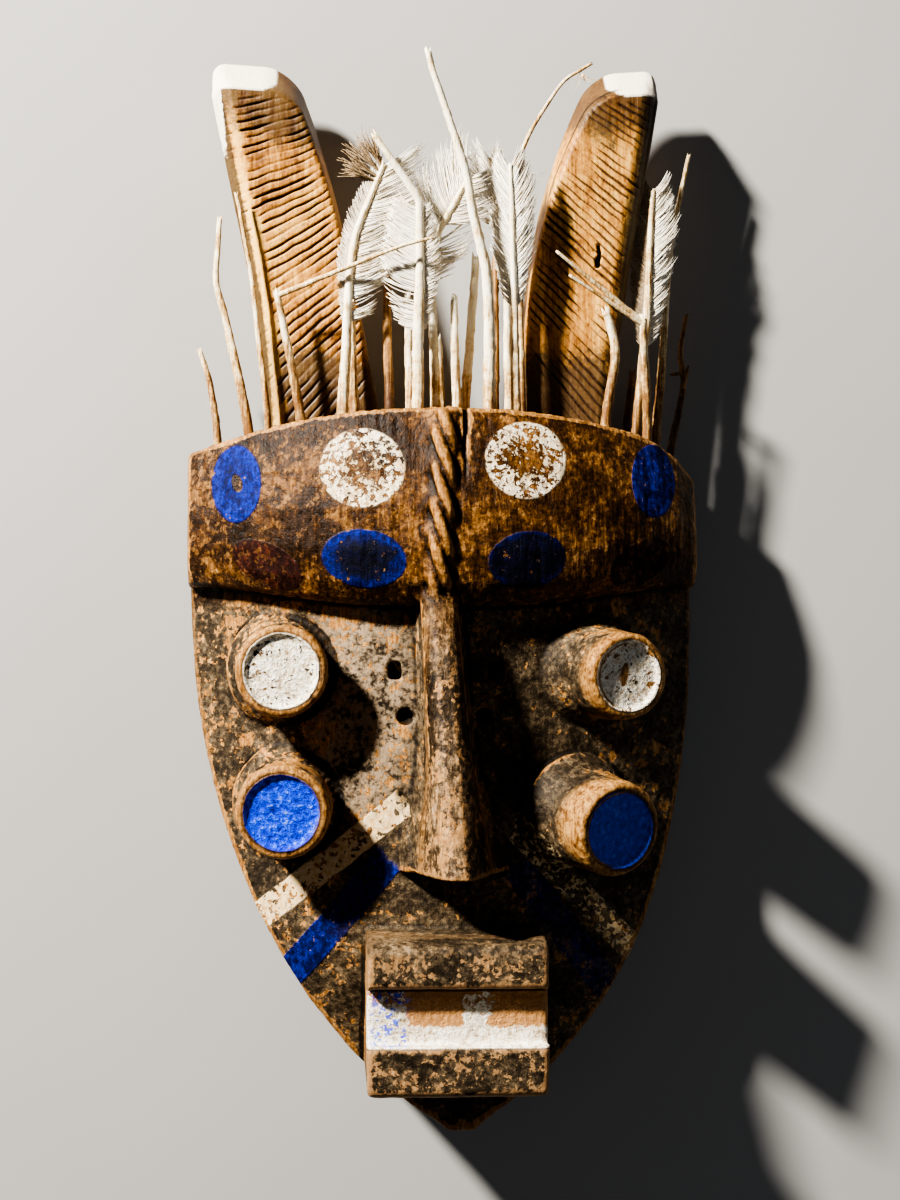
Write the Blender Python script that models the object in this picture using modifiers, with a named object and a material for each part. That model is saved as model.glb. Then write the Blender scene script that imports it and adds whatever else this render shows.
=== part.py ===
"""A carved wooden mask with tube eyes, two grooved horns and a row of feathers.

It lies on its back: X to the viewer's right, Y towards the horns, Z out of the face.
Lengths are in millimetres and are turned into metres where vertices are made.
"""
import math

import bpy
import bmesh
from mathutils import Matrix, Vector

MM = 0.001
GAP = 0.35

# Face shell
FACE_HALF_WIDTH = 122.4
FACE_CROWN = 72.0
FACE_ARC_RADIUS = 190.0
CHIN_CROWN = 46.0
CHIN_FALL_Y = -150.0
CHIN_Y = -256.0
CHIN_X = 8.0
CHIN_TIP_RADIUS = 11.0
FOREHEAD_Y = 91.0
FOREHEAD_CORNER_DROP = 20.0
FOREHEAD_WORN_FROM = 94.0
FOREHEAD_WORN_DROP = 12.0
WALL = 14.0
HOLLOW_CHIN_GAP = 34.0
CROWN_BLOCK_DEPTH = 22.0
SHELL_STATIONS = 26
ARC_POINTS = 15

# Brow roll
BROW_OVERHANG = 1.0
BROW_HALF_WIDTH = FACE_HALF_WIDTH + BROW_OVERHANG
BROW_LOWER_Y = -3.0
BROW_LOWER_OUTER_Y = 6.0
BROW_BULGE = 19.0
BROW_STATIONS = 25
BROW_PROFILE = ((0.00, 0.30), (0.03, 0.62), (0.12, 0.88), (0.28, 1.00), (0.50, 0.97), (0.74, 0.76), (0.93, 0.50), (1.00, 0.36))

# Twisted ridge and nose
RIDGE_TOP_X = -1.2
RIDGE_RADIUS = 5.6
RIDGE_LOBE = 1.9
RIDGE_PITCH = 34.0
RIDGE_STRANDS = 2
NOSE_TOP_X = -4.5
NOSE_TOP_Y = 5.0
NOSE_TIP_Y = -128.0
NOSE_TIP_X = 3.7
NOSE_TOP_HEIGHT = 17.0
NOSE_TIP_HEIGHT = 50.0
NOSE_TOP_HALF_WIDTH = 10.5
NOSE_MID_HALF_WIDTH = 16.0
NOSE_TIP_HALF_WIDTH = 26.0
NOSE_RIDGE_HALF_WIDTH = 6.5

# Tube eyes: name, end centre x, its y as a share of the chin's, lean right, lean down, end radius
TUBE_LENGTH = 33.0
TUBE_FLARE = 5.0
TUBE_DISH = 2.4
TUBE_RIM = 4.6
TUBE_SIDES = 26
TUBE_EYES = (
    ("upper_left", -77.8, 0.1293, -2.0, 0.0, 21.8),
    ("lower_left", -77.6, 0.3863, -6.0, 3.0, 22.2),
    ("upper_right", 84.6, 0.1395, 22.0, 2.0, 20.6),
    ("lower_right", 80.1, 0.4188, 28.0, 9.0, 22.6),
)

# Mouth block
MOUTH_X = 3.6
MOUTH_HALF_WIDTH = 41.8
MOUTH_TOP_Y = 0.625 * CHIN_Y
MOUTH_BOTTOM_Y = 0.890625 * CHIN_Y
MOUTH_FRONT = 112.0
MOUTH_LIP_UPPER = 18.5
MOUTH_LIP_LOWER = 23.5
MOUTH_RECESS = 9.0
MOUTH_TOP_SLOPE = 8.0
MOUTH_ROOT = 52.0

# Sight holes
SIGHT_MIDDLE_X = -0.8
SIGHT_X = 18.8
SIGHT_UPPER_Y = -33.5
SIGHT_LOWER_Y = -55.0
SIGHT_LOWER_RADIUS = 3.9
SIGHT_UPPER_SIZE = 6.4
SIGHT_UPPER_TALLER = 2.0
SIGHT_UPPER_OUT = 4.8

# Split in the forehead
SPLIT_X = 8.2
SPLIT_WIDTH = 1.6
SPLIT_LENGTH = 21.0
SPLIT_DEPTH = 9.0

# Horns
HORN_BACK = 23.0
HORN_THICK = 22.0
HORN_ROOT_Y = 52.0
HORN_GROOVES = 44
HORN_GROOVE_DEPTH = 1.3
HORN_GROOVE_START = 0.12
HORN_GROOVE_END = 0.985
HORN_GROOVE_CROWDING = 0.28
HORN_SLANT_TIP = 12.0
HORN_SLANT_ROOT = 46.0
HORN_END_BEVEL = 15.0
HORN_END_TILT = 0.0625
HORN_TIP_Y = 263.0
# side, tip y, then shares of the face's half width: root, middle and tip x, root, middle and tip width
HORN_LEFT = (-1, HORN_TIP_Y, (-0.43873, -0.55310, -0.75735, 0.47386, 0.41258, 0.33497))
HORN_RIGHT = (1, HORN_TIP_Y - 1.7, (0.50490, 0.53350, 0.73366, 0.33497, 0.39624, 0.26961))
HORN_SLIT_X = 0.6152 * FACE_HALF_WIDTH
HORN_SLIT_Y = 166.5
HORN_SLIT_WIDTH = 1.8
HORN_SLIT_LENGTH = 12.0
HORN_SLIT_DEPTH = 7.0

# Quills and feathers stand in blind sockets in the crown's top.
SOCKET_DEPTH = 12.5
SOCKET_FLOOR = 1.5
SOCKET_REACH = 24.0
QUILL_RESOLUTION = 1
VANE_THICK = 1.4
VANE_STATIONS = 8
LONG_QUILL_RISE = 169.5

# Each stem: share of the half width where it leaves the crown, depth behind the brow's skin,
# radius at the foot and at the tip, and its bends as (x, y, z) from where it leaves the crown.
QUILLS = {
    "quill_left_outer": (-0.895, 18.1, 2.3, 1.2, ((-0.3, 8.8, 0), (-3.7, 31.8, 0), (-8.3, 45.8, 0))),
    "quill_left_tall": (-0.766, 21.7, 2.8, 1.2, ((-1, 6.2, 0), (-11.3, 55.2, 0), (-16.8, 76.2, 0), (-14.3, 105.2, 0))),
    "quill_left_thin": (-0.690, 7.9, 1.7, 0.9, ((-0.7, 10, 0), (-5.7, 53, 0), (-8.2, 76, 0), (-15.2, 112, 0))),
    "quill_centre_split": (-0.354, 22.4, 2.6, 2.2, ((-0.1, 7, 0), (-1.9, 55, 0))),
    "quill_centre_brown": (-0.215, 24.8, 2.6, 1.8, ((0, 6, 0), (-1.5, 72.7, 0))),
    "quill_centre_short": (-0.136, 24.0, 2.4, 1.6, ((-0.1, 6, 0), (-0.9, 55.3, 0))),
    "quill_middle_stub": (-0.012, 30.8, 2.4, 1.8, ((-0.1, 6, 0), (-1.8, 35, 0))),
    "quill_middle": (0.045, 19.8, 2.4, 1.8, ((-0.1, 6, 0), (-1.3, 53, 0))),
    "quill_middle_bright": (0.081, 29.6, 2.6, 1.9, ((0.3, 6, 0), (5.3, 74, 0))),
    "quill_long": (0.168, 9.8, 3.3, 1.5, (
        (0, 61.3, 0), (-5.5, 80.3, 0), (-11.3, 113.3, 0), (-25.5, 155.3, 0), (-28.9, LONG_QUILL_RISE, 0))),
    "quill_right_inner": (0.200, 30.4, 2.4, 1.7, ((0, 6, 0), (0.5, 73.5, 0))),
    "quill_curved": (0.310, 25.2, 1.9, 0.8, (
        (-0.2, 7, 0), (-2.4, 121.4, 0), (3.8, 136.4, 0), (18.8, 160.4, 0), (32.8, 169, 0))),
    "quill_right_bent": (0.634, 10.4, 2.7, 2.0, ((0.3, 6, 0), (5.8, 35.9, 0), (0.3, 54.9, 0))),
    "quill_right_brown": (0.744, 31.7, 2.2, 1.6, ((0.2, 7, 0), (3.2, 31.9, 0))),
    "quill_right_tall": (0.859, 20.1, 2.5, 1.0, ((0.4, 6.7, 0), (4.6, 63.7, 0), (8.9, 108.7, 0), (16.4, 143.7, 0))),
}

# The same, then the blade's start and end as shares of the stem, and its reach left and right.
FEATHERS = {
    "feather_left": (-0.400, 9.9, 3.0, 1.2, ((0.1, 7.8, 0), (2.9, 59.8, 0), (5.9, 85.8, 0), (19.9, 118.8, 0)),
                     0.42, 1.0, 4.0, 14.0),
    "feather_bent": (-0.110, 10.2, 3.2, 1.6, ((0, 6.2, 0), (1.5, 96.2, 0), (-0.5, 101.2, 0), (-21, 129.2, 0)),
                     0.33, 0.72, 13.0, 6.5),
    "feather_middle": (-0.038, 20.7, 2.8, 1.1, ((0, 6, 0), (-2.5, 77, 0), (16.5, 112, 0)), 0.55, 1.0, 11.0, 9.0),
    "feather_downy": (0.253, 23.5, 2.2, 1.0, ((0, 6.9, 0), (-1.2, 72.9, 0), (-9, 121.9, 0)), 0.72, 1.0, 9.0, 7.0),
    "feather_right": (0.277, 15.0, 2.6, 1.0, ((0, 7.1, 0), (-2.7, 117.1, 0)), 0.48, 1.0, 7.5, 8.0),
    "feather_far_right": (0.774, 17.6, 2.8, 1.2, ((0.4, 7.8, 0), (4.9, 54.8, 0), (7.9, 120.8, 0)),
                          0.42, 1.0, 6.0, 8.5),
}

# The same as a bare stem, then each branch: its two radii and its bends, from the same point.
FORKED = {
    "quill_left_crossed": (-0.563, 10.0, 2.5, 1.6, ((-0.4, 6.8, 0), (-11.1, 60.8, 3)), (
        (1.5, 0.8, ((-11.1, 59.3, 3), (45.1, 80.8, 19), (61.6, 84.8, 23))),
    )),
    "quill_right_snapped": (0.809, 7.6, 2.5, 1.9, ((0.1, 4.9, 0), (-2.9, 56.9, 6.5)), (
        (1.7, 0.8, ((-2.9, 55.9, 6.5), (-45.4, 87.9, 18.5))),
        (1.3, 0.8, ((-2.9, 54.9, 6.5), (-38.9, 76.9, 16.5))),
    )),
    "twig_right": (0.921, 20.8, 2.2, 1.1, ((0.3, 2.9, 0), (8.0, 37.9, 0), (5.0, 51.9, 0), (8.6, 70.9, 0)), (
        (1.2, 0.8, ((6.8, 32.9, 0), (9.4, 45.9, 0))),
        (1.1, 0.7, ((6.3, 42.9, 0), (1.2, 41.9, 0))),
    )),
}

CENTRE_Y = (HORN_TIP_Y + CHIN_Y) / 2

BODIES = bpy.data.collections.new("bodies")
CUTTERS = bpy.data.collections.new("cutters")


def clear_scene():
    for item in list(bpy.data.objects):
        bpy.data.objects.remove(item, do_unlink=True)
    bpy.context.scene.collection.children.link(BODIES)
    bpy.context.scene.collection.children.link(CUTTERS)


def clamp(value, low=0.0, high=1.0):
    return max(low, min(high, value))


def smooth(value):
    value = clamp(value)
    return value * value * (3 - 2 * value)


def mix(first, second, share):
    return first + (second - first) * share


def point(x, y, z):
    """A millimetre position in the object's own frame, in metres."""
    return Vector((x * MM, (y - CENTRE_Y) * MM, z * MM))


def mesh_object(name, bm, cutter=False):
    bmesh.ops.remove_doubles(bm, verts=bm.verts, dist=0.00001)
    bmesh.ops.recalc_face_normals(bm, faces=bm.faces)
    mesh = bpy.data.meshes.new(name)
    bm.to_mesh(mesh)
    bm.free()
    item = bpy.data.objects.new(name, mesh)
    if cutter:
        CUTTERS.objects.link(item)
        item.hide_render = True
        item.display_type = "WIRE"
    else:
        BODIES.objects.link(item)
    return item


def loft(name, sections, cutter=False):
    """One closed body through sections of equally many (x, y, z) corners."""
    bm = bmesh.new()
    rings = [[bm.verts.new(point(*corner)) for corner in section] for section in sections]
    count = len(rings[0])
    for ring, after in zip(rings, rings[1:]):
        for i in range(count):
            j = (i + 1) % count
            bm.faces.new((ring[i], ring[j], after[j], after[i]))
    bm.faces.new(list(reversed(rings[0])))
    bm.faces.new(rings[-1])
    return mesh_object(name, bm, cutter)


def combine(target, tool, operation):
    step = target.modifiers.new(operation.lower(), "BOOLEAN")
    step.operation = operation
    step.solver = "EXACT"
    step.object = tool
    evaluated = target.evaluated_get(bpy.context.evaluated_depsgraph_get())
    mesh = bpy.data.meshes.new_from_object(evaluated)
    target.modifiers.remove(step)
    old = target.data
    target.data = mesh
    bpy.data.meshes.remove(old)
    bpy.data.objects.remove(tool, do_unlink=True)


def arc_drop(x):
    x = min(abs(x), FACE_ARC_RADIUS * 0.95)
    return FACE_ARC_RADIUS - math.sqrt(FACE_ARC_RADIUS ** 2 - x * x)


def crown_at(y):
    """Height of the face's middle line, which falls away towards the chin."""
    return mix(FACE_CROWN, CHIN_CROWN, smooth((CHIN_FALL_Y - y) / (CHIN_FALL_Y - CHIN_Y)))


def face_height(x, y):
    return crown_at(y) - arc_drop(x)


def half_width(y):
    """Half the face's width: straight temples, then one long curve into the chin."""
    if y > 10:
        return FACE_HALF_WIDTH
    along = clamp((10 - y) / (10 - CHIN_Y))
    taper = (1 - along ** 2.35) ** 0.74
    return max(FACE_HALF_WIDTH * taper, 0.0)


def middle_x(y):
    return CHIN_X * smooth(-y / -CHIN_Y)


def forehead_y(x):
    """The top edge: a low arch whose right corner is worn away."""
    worn = max(x - FOREHEAD_WORN_FROM, 0) / (BROW_HALF_WIDTH - FOREHEAD_WORN_FROM)
    return FOREHEAD_Y - FOREHEAD_CORNER_DROP * (abs(x) / FACE_HALF_WIDTH) ** 2.2 - FOREHEAD_WORN_DROP * worn ** 2


def shell_section(y, inset, floor, half):
    """A D-shaped slice: flat below, arched above."""
    corners = []
    for i in range(ARC_POINTS):
        share = -1 + 2 * i / (ARC_POINTS - 1)
        across = math.sin(share * math.pi / 2) * 0.35 + share * 0.65
        x = across * half
        wide = x * (half + inset) / half if half > 0 else x
        top = face_height(wide, y) - inset
        corners.append((middle_x(y) + x, y, max(top, floor + 2.0)))
    corners.append((middle_x(y) + half, y, floor))
    corners.append((middle_x(y) - half, y, floor))
    return corners


def face_body():
    top = FOREHEAD_Y - FOREHEAD_CORNER_DROP - FOREHEAD_WORN_DROP - 4
    sections = []
    for i in range(SHELL_STATIONS):
        share = i / (SHELL_STATIONS - 1)
        y = mix(CHIN_Y, top, share ** 1.25)
        half = half_width(y)
        if i == 0:
            half = CHIN_TIP_RADIUS * 0.55
        sections.append(shell_section(y, 0.0, 0.0, max(half, CHIN_TIP_RADIUS * 0.55)))
    return loft("mask", sections)


def hollow():
    """The carved-out back, which stops short of the crown that holds the horns."""
    low = CHIN_Y + HOLLOW_CHIN_GAP
    high = FOREHEAD_Y - FOREHEAD_CORNER_DROP - FOREHEAD_WORN_DROP - CROWN_BLOCK_DEPTH
    sections = []
    stations = 13
    for i in range(stations):
        share = i / (stations - 1)
        y = mix(low, high, share)
        half = half_width(y) - WALL
        ends = math.sin(math.pi * clamp(0.5 * min(1.0, min(share, 1 - share) / 0.16)))
        half = max(half * mix(0.72, 1.0, ends), 6.0)
        depth = mix(20.0, WALL, ends)
        sections.append(shell_section(y, depth, -2.0, half))
    return loft("hollow", sections, cutter=True)


def brow_body():
    """A rolled brow that overhangs the cheeks, with the solid crown behind it."""
    sections = []
    for i in range(BROW_STATIONS):
        x = mix(-BROW_HALF_WIDTH, BROW_HALF_WIDTH, i / (BROW_STATIONS - 1))
        top = forehead_y(x)
        low = mix(BROW_LOWER_Y, BROW_LOWER_OUTER_Y, smooth((abs(x) - 30) / 90))
        ground = FACE_CROWN - arc_drop(x)
        corners = []
        for share, bulge in BROW_PROFILE:
            corners.append((x, mix(low, top, share), ground + BROW_BULGE * bulge))
        corners.append((x, top - 1.5, ground + 1.0))
        corners.append((x, top - 3.0, 0.0))
        corners.append((x, low + 40.0, 0.0))
        corners.append((x, low + 2.0, ground - 6.0))
        sections.append(corners)
    return loft("brow", sections)


def brow_top_z(x):
    return FACE_CROWN - arc_drop(x) + BROW_BULGE * BROW_PROFILE[-1][1]


def ridge_body():
    """Strands twisted about each other down the forehead."""
    sections = []
    stations = 34
    low = NOSE_TOP_Y - 6
    high = FOREHEAD_Y - 1.2
    sides = 14
    for i in range(stations):
        y = mix(low, high, i / (stations - 1))
        share = clamp((y - BROW_LOWER_Y) / (FOREHEAD_Y - BROW_LOWER_Y))
        z = brow_surface(share) - 1.2
        turn = 2 * math.pi * y / (RIDGE_PITCH * 1.0)
        x = mix(NOSE_TOP_X, RIDGE_TOP_X, i / (stations - 1))
        ring = []
        for k in range(sides):
            angle = 2 * math.pi * k / sides
            radius = RIDGE_RADIUS + RIDGE_LOBE * abs(math.cos(RIDGE_STRANDS * (angle - turn / 2))) - RIDGE_LOBE * 0.5
            ring.append((x + radius * math.cos(angle), y, z + radius * math.sin(angle)))
        sections.append(ring)
    return loft("ridge", sections)


def brow_surface(share):
    for (a, first), (b, second) in zip(BROW_PROFILE, BROW_PROFILE[1:]):
        if share <= b:
            return FACE_CROWN + BROW_BULGE * mix(first, second, (share - a) / (b - a))
    return FACE_CROWN + BROW_BULGE * BROW_PROFILE[-1][1]


def nose_body():
    """A long wedge whose ridge stays narrow while its foot spreads to the wings."""
    sections = []
    stations = 12
    for i in range(stations):
        share = i / (stations - 1)
        y = mix(NOSE_TOP_Y, NOSE_TIP_Y, share)
        x = mix(NOSE_TOP_X, NOSE_TIP_X, share)
        foot = mix(NOSE_TOP_HALF_WIDTH, NOSE_MID_HALF_WIDTH, share)
        foot += (NOSE_TIP_HALF_WIDTH - NOSE_MID_HALF_WIDTH) * smooth((share - 0.55) / 0.45)
        height = FACE_CROWN + mix(NOSE_TOP_HEIGHT, NOSE_TIP_HEIGHT, share ** 0.9)
        ridge = NOSE_RIDGE_HALF_WIDTH * mix(1.0, 1.25, share)
        base = FACE_CROWN - 14
        rise = height - FACE_CROWN
        ring = [
            (x - foot * 1.12, y, base),
            (x - foot, y, FACE_CROWN + rise * 0.02),
            (x - mix(foot, ridge, 0.45), y, FACE_CROWN + rise * 0.34),
            (x - ridge * 1.35, y, FACE_CROWN + rise * 0.74),
            (x - ridge * 0.95, y, FACE_CROWN + rise * 0.92),
            (x - ridge * 0.45, y, height),
            (x + ridge * 0.45, y, height),
            (x + ridge * 0.95, y, FACE_CROWN + rise * 0.92),
            (x + ridge * 1.35, y, FACE_CROWN + rise * 0.74),
            (x + mix(foot, ridge, 0.45), y, FACE_CROWN + rise * 0.34),
            (x + foot, y, FACE_CROWN + rise * 0.02),
            (x + foot * 1.12, y, base),
        ]
        sections.append(ring)
    return loft("nose", sections)


def tube_body(end_x, end_y, lean_right, lean_down, radius):
    """A short tube with a dished end, flared where it meets the cheek."""
    across = math.tan(math.radians(lean_right))
    down = math.tan(math.radians(lean_down))
    foot_x = end_x - across * TUBE_LENGTH
    foot_y = end_y + down * TUBE_LENGTH
    foot_z = face_height(foot_x, foot_y)
    axis = Vector((across, -down, 1.0)).normalized()
    end = (end_x, end_y, foot_z + TUBE_LENGTH)
    profile = (
        (-TUBE_LENGTH - 26, 0.0),
        (-TUBE_LENGTH - 26, radius * 0.90),
        (-TUBE_LENGTH - 6, radius + TUBE_FLARE * 1.4),
        (-TUBE_LENGTH + 1, radius + TUBE_FLARE * 0.8),
        (-TUBE_LENGTH + 8, radius + TUBE_FLARE * 0.2),
        (-2.0, radius),
        (0.0, radius - 1.4),
        (0.0, radius - TUBE_RIM),
        (-TUBE_DISH, radius - TUBE_RIM - 0.8),
        (-TUBE_DISH, 0.0),
    )
    return turned("tube", profile, end, axis, TUBE_SIDES)


def mouth_body():
    """A block with two lips and the recessed band of teeth between them."""
    front = MOUTH_FRONT
    back = front - MOUTH_RECESS
    top = MOUTH_TOP_Y
    bottom = MOUTH_BOTTOM_Y
    upper = top - MOUTH_LIP_UPPER
    lower = bottom + MOUTH_LIP_LOWER
    outline = (
        (top + MOUTH_TOP_SLOPE * 0.55, MOUTH_ROOT),
        (top + MOUTH_TOP_SLOPE * 0.5, front - MOUTH_TOP_SLOPE - 6),
        (top + 1.5, front - 3.0),
        (top - 1.5, front),
        (upper + 2.0, front),
        (upper, front - 1.8),
        (upper + 0.6, back),
        (lower - 0.6, back),
        (lower, front - 1.8),
        (lower - 2.0, front),
        (bottom + 2.5, front),
        (bottom, front - 2.5),
        (bottom + 3.0, MOUTH_ROOT - 4),
    )
    sections = []
    for share, shrink in ((-1.0, 1.4), (-0.965, 0.0), (-0.5, 0.0), (0.0, 0.0), (0.5, 0.0), (0.965, 0.0), (1.0, 1.4)):
        ring = []
        for y, z in outline:
            reach = z - shrink if z > MOUTH_ROOT else z
            inward = shrink if y > (top + bottom) / 2 else -shrink
            ring.append((MOUTH_X + share * MOUTH_HALF_WIDTH, y - inward, reach))
        sections.append(ring)
    return loft("mouth", sections)


def horn_body(side, tip_y, root_x, middle, tip_x, root_w, middle_w, tip_w):
    """A flat curved horn whose face is cut by slanting grooves."""
    def centre(t):
        return root_x * (1 - t) ** 2 + 2 * t * (1 - t) * (2 * middle - (root_x + tip_x) / 2) + tip_x * t * t

    def width(t):
        if t < 0.5:
            return mix(root_w, middle_w, smooth(t * 2))
        return mix(middle_w, tip_w, (t * 2 - 1) ** 2.6)

    def groove_place(count):
        share = count / HORN_GROOVES
        eased = share * (1 + HORN_GROOVE_CROWDING * (1 - share))
        return mix(HORN_GROOVE_START, HORN_GROOVE_END, eased)

    length = tip_y - HORN_ROOT_Y
    stations = [(0.0, 0.0)]
    for g in range(HORN_GROOVES):
        for part, groove in ((0.30, 0.0), (0.56, 1.0), (0.82, 0.0)):
            stations.append((groove_place(g + part), groove))
    stations.append((1.0, 0.0))
    across_shape = (-0.5, -0.43, 0.0, 0.43, 0.5)
    sections = []
    for t, groove in stations:
        slant = mix(HORN_SLANT_ROOT, HORN_SLANT_TIP, t)
        if t <= 0.02 or t >= 0.999:
            slant = 0.0
        fade = min(smooth(t / 0.28), smooth((1 - t) / 0.06))
        slope = math.tan(math.radians(slant)) * fade
        middle_at = centre(t)
        wide = width(t)
        cut = HORN_GROOVE_DEPTH * groove
        ring = []
        for u in across_shape:
            shift = -side * u * wide * slope
            local = clamp(t + shift / length, 0.0, 1.0)
            x = centre(local) + u * width(local)
            y = HORN_ROOT_Y + length * t + shift
            rounding = 3.2 * (abs(u) / 0.5) ** 6
            ring.append((x, y, HORN_BACK + HORN_THICK - rounding - cut))
        back = []
        for u in (0.5, 0.46, -0.46, -0.5):
            shift = -side * u * wide * slope
            local = clamp(t + shift / length, 0.0, 1.0)
            x = centre(local) + u * width(local)
            y = HORN_ROOT_Y + length * t + shift
            z = HORN_BACK + (4.0 if abs(u) >= 0.5 else 0.0)
            back.append((x, y, z))
        ring += back
        sections.append(ring)
    return loft("horn", sections)


def horn_end_cutter(side, tip_y, tip_x, tip_w):
    """Slopes the horn's end so that it faces partly forward and partly inward."""
    outer = tip_x + side * tip_w / 2
    rings = []
    for x in (outer - 50.0, outer + 50.0):
        edge = tip_y + HORN_END_TILT * side * (x - outer)
        rings.append([
            (x, edge + 20, HORN_BACK - 8),
            (x, edge + HORN_END_BEVEL * 8 / HORN_THICK, HORN_BACK - 8),
            (x, edge - HORN_END_BEVEL * (HORN_THICK + 1) / HORN_THICK, HORN_BACK + HORN_THICK + 1),
            (x, edge + 20, HORN_BACK + HORN_THICK + 8),
        ])
    return loft("horn_end", rings, cutter=True)


def placed_mesh(name, bm, matrix, cutter):
    bmesh.ops.transform(bm, matrix=matrix, verts=bm.verts)
    return mesh_object(name, bm, cutter)


def box(name, x, y, z, size_x, size_y, size_z):
    bm = bmesh.new()
    bmesh.ops.create_cube(bm, size=1.0)
    size = Matrix.Diagonal((size_x * MM, size_y * MM, size_z * MM, 1))
    return placed_mesh(name, bm, Matrix.Translation(point(x, y, z)) @ size, True)


def round_cutter(name, start, end, radius, sides=12):
    """A straight round bar between two millimetre points."""
    reach = Vector(end) - Vector(start)
    middle = (Vector(start) + Vector(end)) / 2
    bm = bmesh.new()
    bmesh.ops.create_cone(
        bm, cap_ends=True, segments=sides, radius1=radius * MM, radius2=radius * MM, depth=reach.length * MM
    )
    turn = reach.to_track_quat("Z", "Y").to_matrix().to_4x4()
    return placed_mesh(name, bm, Matrix.Translation(point(*middle)) @ turn, True)


def turned(name, profile, place, axis, sides):
    """A (height, radius) profile turned about its axis with a Screw modifier."""
    bm = bmesh.new()
    corners = [bm.verts.new((radius * MM, 0, height * MM)) for height, radius in profile]
    for first, second in zip(corners, corners[1:]):
        bm.edges.new((first, second))
    mesh = bpy.data.meshes.new(name)
    bm.to_mesh(mesh)
    bm.free()
    item = bpy.data.objects.new(name, mesh)
    BODIES.objects.link(item)
    screw = item.modifiers.new("turn", "SCREW")
    screw.steps = sides
    screw.render_steps = sides
    screw.use_merge_vertices = True
    screw.merge_threshold = 0.00002
    evaluated = item.evaluated_get(bpy.context.evaluated_depsgraph_get())
    result = bpy.data.meshes.new_from_object(evaluated)
    bpy.data.objects.remove(item, do_unlink=True)
    bm = bmesh.new()
    bm.from_mesh(result)
    bpy.data.meshes.remove(result)
    turn = axis.to_track_quat("Z", "Y").to_matrix().to_4x4()
    return placed_mesh(name, bm, Matrix.Translation(point(*place)) @ turn, False)


def cut_sight_holes(mask):
    """A squarish and a round hole on each side of the nose, right through the wall."""
    for side in (-1, 1):
        x = SIGHT_MIDDLE_X + side * SIGHT_X
        skin = face_height(x, SIGHT_LOWER_Y)
        low = Vector((x, SIGHT_LOWER_Y, skin - 2 * WALL))
        high = Vector((x, SIGHT_LOWER_Y, skin + WALL))
        combine(mask, round_cutter("sight", low, high, SIGHT_LOWER_RADIUS), "DIFFERENCE")
        x = SIGHT_MIDDLE_X + side * (SIGHT_X + SIGHT_UPPER_OUT)
        size = (SIGHT_UPPER_SIZE, SIGHT_UPPER_SIZE + SIGHT_UPPER_TALLER, 4 * WALL)
        combine(mask, box("sight", x, SIGHT_UPPER_Y, face_height(x, SIGHT_UPPER_Y), *size), "DIFFERENCE")


def cut_splits(mask):
    """The drying split in the forehead and the slit in the right horn."""
    place = (SPLIT_X, FOREHEAD_Y - SPLIT_LENGTH / 2, brow_top_z(SPLIT_X) + BROW_BULGE / 2)
    size = (SPLIT_WIDTH, SPLIT_LENGTH, 2 * SPLIT_DEPTH + BROW_BULGE)
    combine(mask, box("split", *place, *size), "DIFFERENCE")
    place = (HORN_SLIT_X, HORN_SLIT_Y, HORN_BACK + HORN_THICK)
    size = (HORN_SLIT_WIDTH, HORN_SLIT_LENGTH, 2 * HORN_SLIT_DEPTH)
    combine(mask, box("slit", *place, *size), "DIFFERENCE")


def tube_along(name, base_radius, tip_radius, path):
    """A round tapering stem along a path, closed at both ends."""
    curve = bpy.data.curves.new(name, "CURVE")
    curve.dimensions = "3D"
    curve.bevel_depth = base_radius * MM
    curve.bevel_resolution = QUILL_RESOLUTION
    curve.use_fill_caps = True
    spline = curve.splines.new("POLY")
    spline.points.add(len(path) - 1)
    lengths = [0.0]
    for here, after in zip(path, path[1:]):
        lengths.append(lengths[-1] + (after - here).length)
    for i, place in enumerate(path):
        spline.points[i].co = (*point(*place), 1.0)
        spline.points[i].radius = mix(1.0, tip_radius / base_radius, (lengths[i] / lengths[-1]) ** 1.6)
    item = bpy.data.objects.new(name, curve)
    BODIES.objects.link(item)
    bpy.context.view_layer.update()
    mesh = bpy.data.meshes.new_from_object(item.evaluated_get(bpy.context.evaluated_depsgraph_get()))
    bpy.data.objects.remove(item, do_unlink=True)
    bm = bmesh.new()
    bm.from_mesh(mesh)
    bpy.data.meshes.remove(mesh)
    return mesh_object(name, bm)


def along(path, share):
    """Place and sideways direction at a share of a path's length."""
    spots = list(path)
    lengths = [(b - a).length for a, b in zip(spots, spots[1:])]
    rest = share * sum(lengths)
    for i, size in enumerate(lengths):
        if rest <= size or i == len(lengths) - 1:
            direction = (spots[i + 1] - spots[i]).normalized()
            if i + 1 < len(lengths):
                after = (spots[i + 2] - spots[i + 1]).normalized()
                direction = direction.lerp(after, clamp(rest / size) * 0.5).normalized()
            place = spots[i] + (spots[i + 1] - spots[i]) * clamp(rest / size)
            return place, Vector((-direction.y, direction.x, 0)).normalized()
        rest -= size
    return spots[-1], Vector((-1, 0, 0))


def vane_body(path, start, end, left, right):
    """The flat blade of a feather, widest below its middle."""
    sections = []
    for i in range(VANE_STATIONS):
        share = i / (VANE_STATIONS - 1)
        place, sideways = along(path, mix(start, min(end, 0.998), share))
        swell = 0.16 + 0.84 * math.sin(math.pi * (0.08 + 0.84 * share)) ** 0.7
        outer = place + sideways * left * swell
        inner = place - sideways * right * swell
        half = VANE_THICK / 2
        sections.append([
            (outer.x, outer.y, outer.z - half),
            (inner.x, inner.y, inner.z - half),
            (inner.x, inner.y, inner.z + half),
            (outer.x, outer.y, outer.z + half),
        ])
    return loft("vane", sections)


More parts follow.
